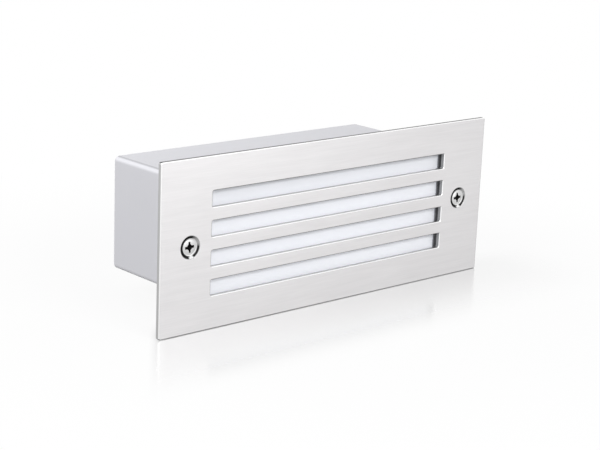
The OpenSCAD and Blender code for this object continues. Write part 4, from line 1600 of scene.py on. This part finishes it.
@dataclass
class Capacitors:
    """The driver's capacitors: sleeved cans with a crimp at the foot and a bare top.

    Args:
        board: the board that they stand on.
        cans: each can's X, Z, radius and height.
        foot: changes of radius and height from the can's foot.
        top: changes of radius and height from the can's top.
        bare: how far inside the radius the bare top starts.
        sides: how many sides a can has.
    """

    board: Span = box_of("driver_board")
    cans: tuple[tuple[float, float, float, float], ...] = (
        (-11.0, 0.0, 4.0, 11.0), (-38.2, 6.2, 3.2, 10.0), (-37.5, -5.5, 2.5, 8.0),
    )
    foot: tuple[Pair, ...] = ((-0.3, 0.0), (0.0, 0.3), (0.0, 1.2), (-0.25, 1.6), (0.0, 2.0))
    top: tuple[Pair, ...] = (
        (0.0, -0.4), (-0.15, -0.1), (-0.4, 0.0), (-0.7, 0.0), (-0.8, -0.15), (-1.1, -0.15),
    )
    bare: float = 0.7
    sides: int = 40

    def build(self) -> None:
        """Stacks each can on the driver's board."""
        shape = Shape()
        start = self.board.high.y
        for x, z, radius, height in self.cans:
            stations = [(radius + wider, start + up) for wider, up in self.foot]
            stations += [(radius + wider, start + height + up) for wider, up in self.top]
            shape.rounds(stations, self.sides, x, z)
        shape.paint(lambda face: int(self.is_top(face.calc_center_median())))
        shape.close()
        finishes, node = (SLEEVE, CAN_TOP), "driver_capacitors"
        Piece("sleeved_capacitors", Body.LIGHT, "capacitor_sleeve", (node,), finishes).made_of(shape)

    def is_top(self, place: Vector) -> bool:
        """Whether a place is on the bare middle of a can's top."""
        return any(
            math.hypot(place.x - x, place.z - z) < radius - self.bare
            and place.y > self.board.high.y + height - 0.3
            for x, z, radius, height in self.cans
        )


@dataclass
class Lead:
    """A round lead that runs straight, turns on arcs and is bare at its ends.

    Args:
        corners: the ends of the route, and the corners that the arcs cut off.
        radius: the lead's radius.
        bend: radius of the arcs.
        striped: whether a second colour winds round it.
        bare: length of the bare ends.
        step: length over which the sleeve starts.
        wire: the bare wire's radius, as a share of the lead's.
        sides: how many sides the lead has.
        bend_steps: how many steps an arc has.
        stripe: the second colour's share of the way round.
    """

    corners: Sequence[Point]
    radius: float
    bend: float = 4.0
    striped: bool = False
    bare: float = 2.2
    step: float = 0.01
    wire: float = 0.6
    sides: int = 16
    bend_steps: int = 8
    stripe: float = 0.25

    def route(self) -> list[Vector]:
        """The points that the lead's middle runs through."""
        corners = [Vector(corner) for corner in self.corners]
        head, tail = self.end_points(corners[0], corners[1]), self.end_points(corners[-1], corners[-2])
        points = head
        for before, corner, after in zip(corners, corners[1:], corners[2:]):
            inward = (corner - before).normalized() * self.bend
            outward = (after - corner).normalized() * self.bend
            centre = corner - inward + outward
            for step in range(self.bend_steps + 1):
                angle = QUARTER_TURN * step / self.bend_steps
                points.append(centre - outward * math.cos(angle) + inward * math.sin(angle))
        return points + tail[::-1]

    def end_points(self, start: Vector, towards: Vector) -> list[Vector]:
        """An end of the route, and where its bare wire stops and its sleeve starts."""
        forward = (towards - start).normalized()
        return [start + forward * distance for distance in (0, self.bare, self.bare + self.step)]

    def shape(self) -> Shape:
        """Stacks rings square to the route: bare wire, sleeve and bare wire again."""
        points = self.route()
        across = Vector((0, 0, 1)) if abs((points[1] - points[0]).z) < 0.5 else Vector((1, 0, 0))
        angles = [FULL_TURN * side / self.sides for side in range(self.sides)]
        rings, frames = [], []
        for index, point in enumerate(points):
            ahead, behind = points[min(index + 1, len(points) - 1)], points[max(index - 1, 0)]
            forward = (ahead - behind).normalized()
            across = (across - forward * across.dot(forward)).normalized()
            aside = forward.cross(across)
            frames.append((point, across, aside))
            bare = index < 2 or index > len(points) - 3
            wide = self.radius * (self.wire if bare else 1.0)
            rings.append([point + (across * math.cos(a) + aside * math.sin(a)) * wide for a in angles])
        made = Shape()
        made.stack(rings)
        made.paint(lambda face: self.slot_of(face.calc_center_median(), frames))
        made.close()
        return made

    def slot_of(self, place: Vector, frames: Sequence[tuple[Vector, Vector, Vector]]) -> int:
        """The slot at a place: 1 on the bare wire, 2 on the second colour, and 0 elsewhere."""
        if min((place - frames[end][0]).length for end in (0, -1)) < self.bare:
            return 1
        if not self.striped:
            return 0
        middle, across, aside = min(frames, key=lambda frame: (place - frame[0]).length)
        off = place - middle
        return 2 if math.atan2(off.dot(aside), off.dot(across)) % math.pi < math.pi * self.stripe else 0


@dataclass
class Wiring:
    """Every lead inside the box."""

    mains_radius: float = 1.1
    mains_y: float = 42.8
    mains_from: float = -3.0
    mains_to: float = 17.0
    pole_z: float = 9.0
    earth_x: float = 8.0
    earth_y: float = 56.2
    earth_z: float = -11.0
    lamp_radius: float = 0.6
    lamp_spread: float = 0.85
    lamp_bend: float = 2.5
    lamp_route: tuple[Pair, ...] = ((-45.5, 42.3), (-66.0, 42.3), (-66.0, 30.8), (-57.1, 30.8))

    def build(self) -> None:
        """Builds the mains leads, the earth lead and the pair to the lamp board."""
        for name, z, sleeve, slot in (
            ("live", self.pole_z, BROWN_PVC, "lead_brown"), ("neutral", -self.pole_z, BLUE_PVC, "lead_blue"),
        ):
            ends = ((self.mains_from, self.mains_y, z), (self.mains_to, self.mains_y, z))
            shape = Lead(ends, self.mains_radius).shape()
            Piece(f"{name}_wire", Body.LIGHT, slot, (f"{name}_lead",), (sleeve, COPPER)).made_of(shape)
        corners = (
            (self.mains_to, self.mains_y, 0), (self.earth_x, self.mains_y, 0),
            (self.earth_x, self.earth_y, 0), (self.earth_x, self.earth_y, self.earth_z),
        )
        shape = Lead(corners, self.mains_radius, striped=True).shape()
        finishes = (GREEN_PVC, COPPER, YELLOW_PVC)
        Piece("earth_wire", Body.LIGHT, "lead_green_yellow", ("earth_lead",), finishes).made_of(shape)
        pair = Shape()
        for side in (1, -1):
            corners = [(x, y, side * self.lamp_spread) for x, y in self.lamp_route]
            tube = Lead(corners, self.lamp_radius, self.lamp_bend).shape()
            if side < 0:
                tube.paint(lambda face: face.material_index or 2)
            pair.join(tube)
        finishes = (RED_PVC, COPPER, BLACK_PVC)
        Piece("lamp_wires", Body.LIGHT, "lead_thin", ("lamp_leads",), finishes).made_of(pair)


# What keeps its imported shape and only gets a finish


PLAIN_FINISHES: dict[Finish, tuple[str, ...]] = {
    TRAY_PAINT: ("gear_tray",),
    ZINC: (
        "gear_tray_screws", "lamp_board_screws", "driver_screws", "terminal_clamp_screws",
        "terminal_fixing_screws", "earth_washer",
    ),
    BLACK_RUBBER: ("tray_grommet",),
    WHITE_RESIST: ("lamp_board",),
    IVORY: ("lamp_connector", "terminal_block"),
    CASE_PLASTIC: ("driver_base", "driver_lid"),
    GREEN_RESIST: ("driver_board",),
    COIL_TAPE: ("driver_transformer",),
    BRASS: ("terminal_clamps", "earth_screw", "earth_tag"),
    GLAND_NYLON: ("gland_locknut",),
}


def dress_nodes() -> None:
    """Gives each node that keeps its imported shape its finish."""
    for finish, nodes in PLAIN_FINISHES.items():
        for node in nodes:
            slots = frame["nodes"][node].data.materials
            slots.clear()
            slots.append(finish.material())
            log.info("%s: %s", node, finish.name)


# The studio


@dataclass(frozen=True)
class Viewpoint:
    """The camera, as the photograph was taken."""

    azimuth: float = math.radians(-42.036)
    elevation: float = math.radians(14.630)
    roll: float = math.radians(2.326)
    distance: float = 746.83
    aim_across: float = -14.863
    aim_up: float = -2.432
    lens: float = 94.138
    sensor: float = 36.0

    def build(self) -> None:
        """Places the camera and makes it the scene's."""
        away = Vector((
            math.sin(self.azimuth) * math.cos(self.elevation),
            -math.cos(self.azimuth) * math.cos(self.elevation),
            math.sin(self.elevation),
        ))
        level = Vector((0, 0, 1)).cross(away).normalized()
        upright = away.cross(level)
        right = level * math.cos(self.roll) + upright * math.sin(self.roll)
        up = upright * math.cos(self.roll) - level * math.sin(self.roll)
        aim = Vector((0, Span.of("faceplate").high.y, 0))
        place = aim + away * self.distance + right * self.aim_across + up * self.aim_up
        data = bpy.data.cameras.new("camera")
        data.lens = self.lens
        data.sensor_width = self.sensor
        camera = placed("camera", data)
        camera.matrix_world = Matrix.Translation(place * MM) @ Matrix((right, up, away)).transposed().to_4x4()
        bpy.context.scene.camera = camera


@dataclass(frozen=True)
class SoftBox:
    """A square lamp with a soft edge.

    Args:
        name: what it is called.
        place: where it hangs, in millimetres.
        aim: where it points, in millimetres.
        width: its width, in millimetres.
        height: its height, in millimetres.
        power: its power in watts.
        mirrored: whether it shows in a reflection.
    """

    name: str
    place: Point
    aim: Point
    width: float
    height: float
    power: float
    mirrored: bool = True

    def build(self) -> None:
        """Hangs the lamp."""
        data = bpy.data.lights.new(self.name, "AREA")
        data.shape = "RECTANGLE"
        data.size = self.width * MM
        data.size_y = self.height * MM
        data.energy = self.power
        lamp = placed(self.name, data)
        lamp.visible_glossy = self.mirrored
        lamp.location = Vector(self.place) * MM
        away = Vector(self.place) - Vector(self.aim)
        lamp.rotation_euler = away.to_track_quat("Z", "Y").to_euler()


@dataclass(frozen=True)
class Studio:
    """A plain pale studio: white surroundings, a faintly glossy floor and soft lamps."""

    plate: Span = box_of("faceplate")
    fill_level: float = 0.40
    floor_half: float = 3000.0
    floor_colour: Colour = (0.75, 0.75, 0.75)
    own_near: float = 0.90
    near_reach: float = 100.0
    far_reach: float = 300.0
    near_gloss: float = 0.91
    mirror_share: float = 0.66
    mirror_reach: float = 64.0
    mirror_slant: float = 0.75
    mirror_soft: float = 6.0
    mirror_past: float = 1.6
    mirror_blur: float = 0.17
    mirror_tint: Colour = (0.88, 0.88, 0.88)
    lamps: tuple[SoftBox, ...] = (
        SoftBox("key", (-60, -700, 330), (0, 0, 0), 380, 300, 3.95),
        SoftBox("kicker", (350, -600, 45), (-100, 0, 20), 200, 200, 0.24),
        SoftBox("left", (-800, 60, 400), (0, 30, 0), 540, 540, 5.65),
        SoftBox("right", (850, 90, 100), (0, 30, 0), 540, 300, 3.60, False),
        SoftBox("back", (60, 900, 110), (0, 30, 0), 540, 300, 4.20, False),
    )

    def build(self) -> None:
        """Sets the view transform and makes the world, the floor and the lamps."""
        bpy.context.scene.view_settings.view_transform = "Standard"
        self.build_world()
        self.build_floor()
        for lamp in self.lamps:
            lamp.build()

    @staticmethod
    def seen(graph: Graph, gloss: Value = 1.0) -> Sock:
        """How strongly a background shows.

        Args:
            graph: the background's tree.
            gloss: its strength in a reflection.

        Returns:
            1 to the camera and through glass, gloss in a reflection, and 0 for any other light.
        """
        outputs = graph.node("ShaderNodeLightPath").socket.node.outputs
        names = ("Is Camera Ray", "Is Glossy Ray", "Is Transmission Ray")
        camera, mirrored, through = (Sock(graph, outputs[name]) for name in names)
        return camera.highest(mirrored * gloss).highest(through)

    def build_world(self) -> None:
        """White where it is seen, and a plain fill light elsewhere."""
        world = bpy.data.worlds.new("studio")
        world.use_nodes = True
        bpy.context.scene.world = world
        graph = Graph(world.node_tree)
        level = self.seen(graph) * (1 - self.fill_level) + self.fill_level
        shader = graph.node("ShaderNodeBackground", {}, {"Color": (1, 1, 1, 1), "Strength": level})
        graph.finish(shader, "ShaderNodeOutputWorld")

    def pale_floor(self, graph: Graph, x: Sock, y: Sock) -> Sock:
        """A matt floor near the object, which goes over into plain white away from it."""
        away, reach = (x * x + y * y).root(), (self.near_reach, self.far_reach)
        gloss = graph.fade(away, *reach, self.near_gloss, 1.0, smooth=True)
        far = graph.fade(away, *reach, self.own_near, 1.0, smooth=True)
        lit = graph.node("ShaderNodeBsdfDiffuse", {}, {"Color": (*self.floor_colour, 1)})
        white = {"Color": (1, 1, 1, 1), "Strength": self.seen(graph, gloss)}
        own = graph.node("ShaderNodeEmission", {}, white)
        return graph.node("ShaderNodeMixShader", {}, {0: far, 1: lit, 2: own})

    def mirrored_share(self, graph: Graph, x: Sock, y: Sock) -> Sock:
        """How much the floor mirrors: in front of the plate's foot, and to the camera alone."""
        front, left, right, soft = self.plate.low.y, self.plate.low.x, self.plate.high.x, self.mirror_soft
        foot = x + (front - y) * self.mirror_slant
        fade = graph.fade(y, front - self.mirror_reach, front, 0.0, self.mirror_share, smooth=True)
        behind = graph.fade(y, front, front + 4 * soft, 1.0, 0.0, smooth=True)
        under = graph.fade(foot, left - soft, left + soft, smooth=True)
        past = graph.fade(x, right, right * self.mirror_past, 1.0, 0.0, smooth=True)
        return fade * behind * under * past * graph.node("ShaderNodeLightPath", output="Is Camera Ray")

    def build_floor(self) -> None:
        """A pale floor that mirrors the foot of the plate faintly and keeps its shadow."""
        shape = Shape()
        bmesh.ops.create_grid(shape.bm, x_segments=1, y_segments=1, size=self.floor_half)
        shape.move((0, 0, self.plate.low.z))
        mesh = shape.in_metres("floor")
        material = bpy.data.materials.new("floor")
        material.use_nodes = True
        graph = Graph(material.node_tree)
        x, y, _ = graph.millimetres()
        gloss = {"Color": (*self.mirror_tint, 1), "Roughness": self.mirror_blur}
        mirror = graph.node("ShaderNodeBsdfGlossy", {}, gloss)
        layers = {0: self.mirrored_share(graph, x, y), 1: self.pale_floor(graph, x, y), 2: mirror}
        graph.finish(graph.node("ShaderNodeMixShader", {}, layers))
        mesh.materials.append(material)
        floor = placed("floor", mesh)


def main() -> None:
    """Builds the light and its studio."""
    logging.basicConfig(level=logging.INFO, format="%(message)s")
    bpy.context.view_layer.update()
    Viewpoint().build()
    Cover().build()
    FaceScrew("left_screw_head", "face_screw_left", Body.LEFT_SCREW, -4.0).build()
    FaceScrew("right_screw_head", "face_screw_right", Body.RIGHT_SCREW, -4.0).build()
    LampHouse().build()
    Gland().build()
    LampChips().build()
    Capacitors().build()
    Wiring().build()
    dress_nodes()
    Studio().build()


if __name__ == "__main__":
    main()
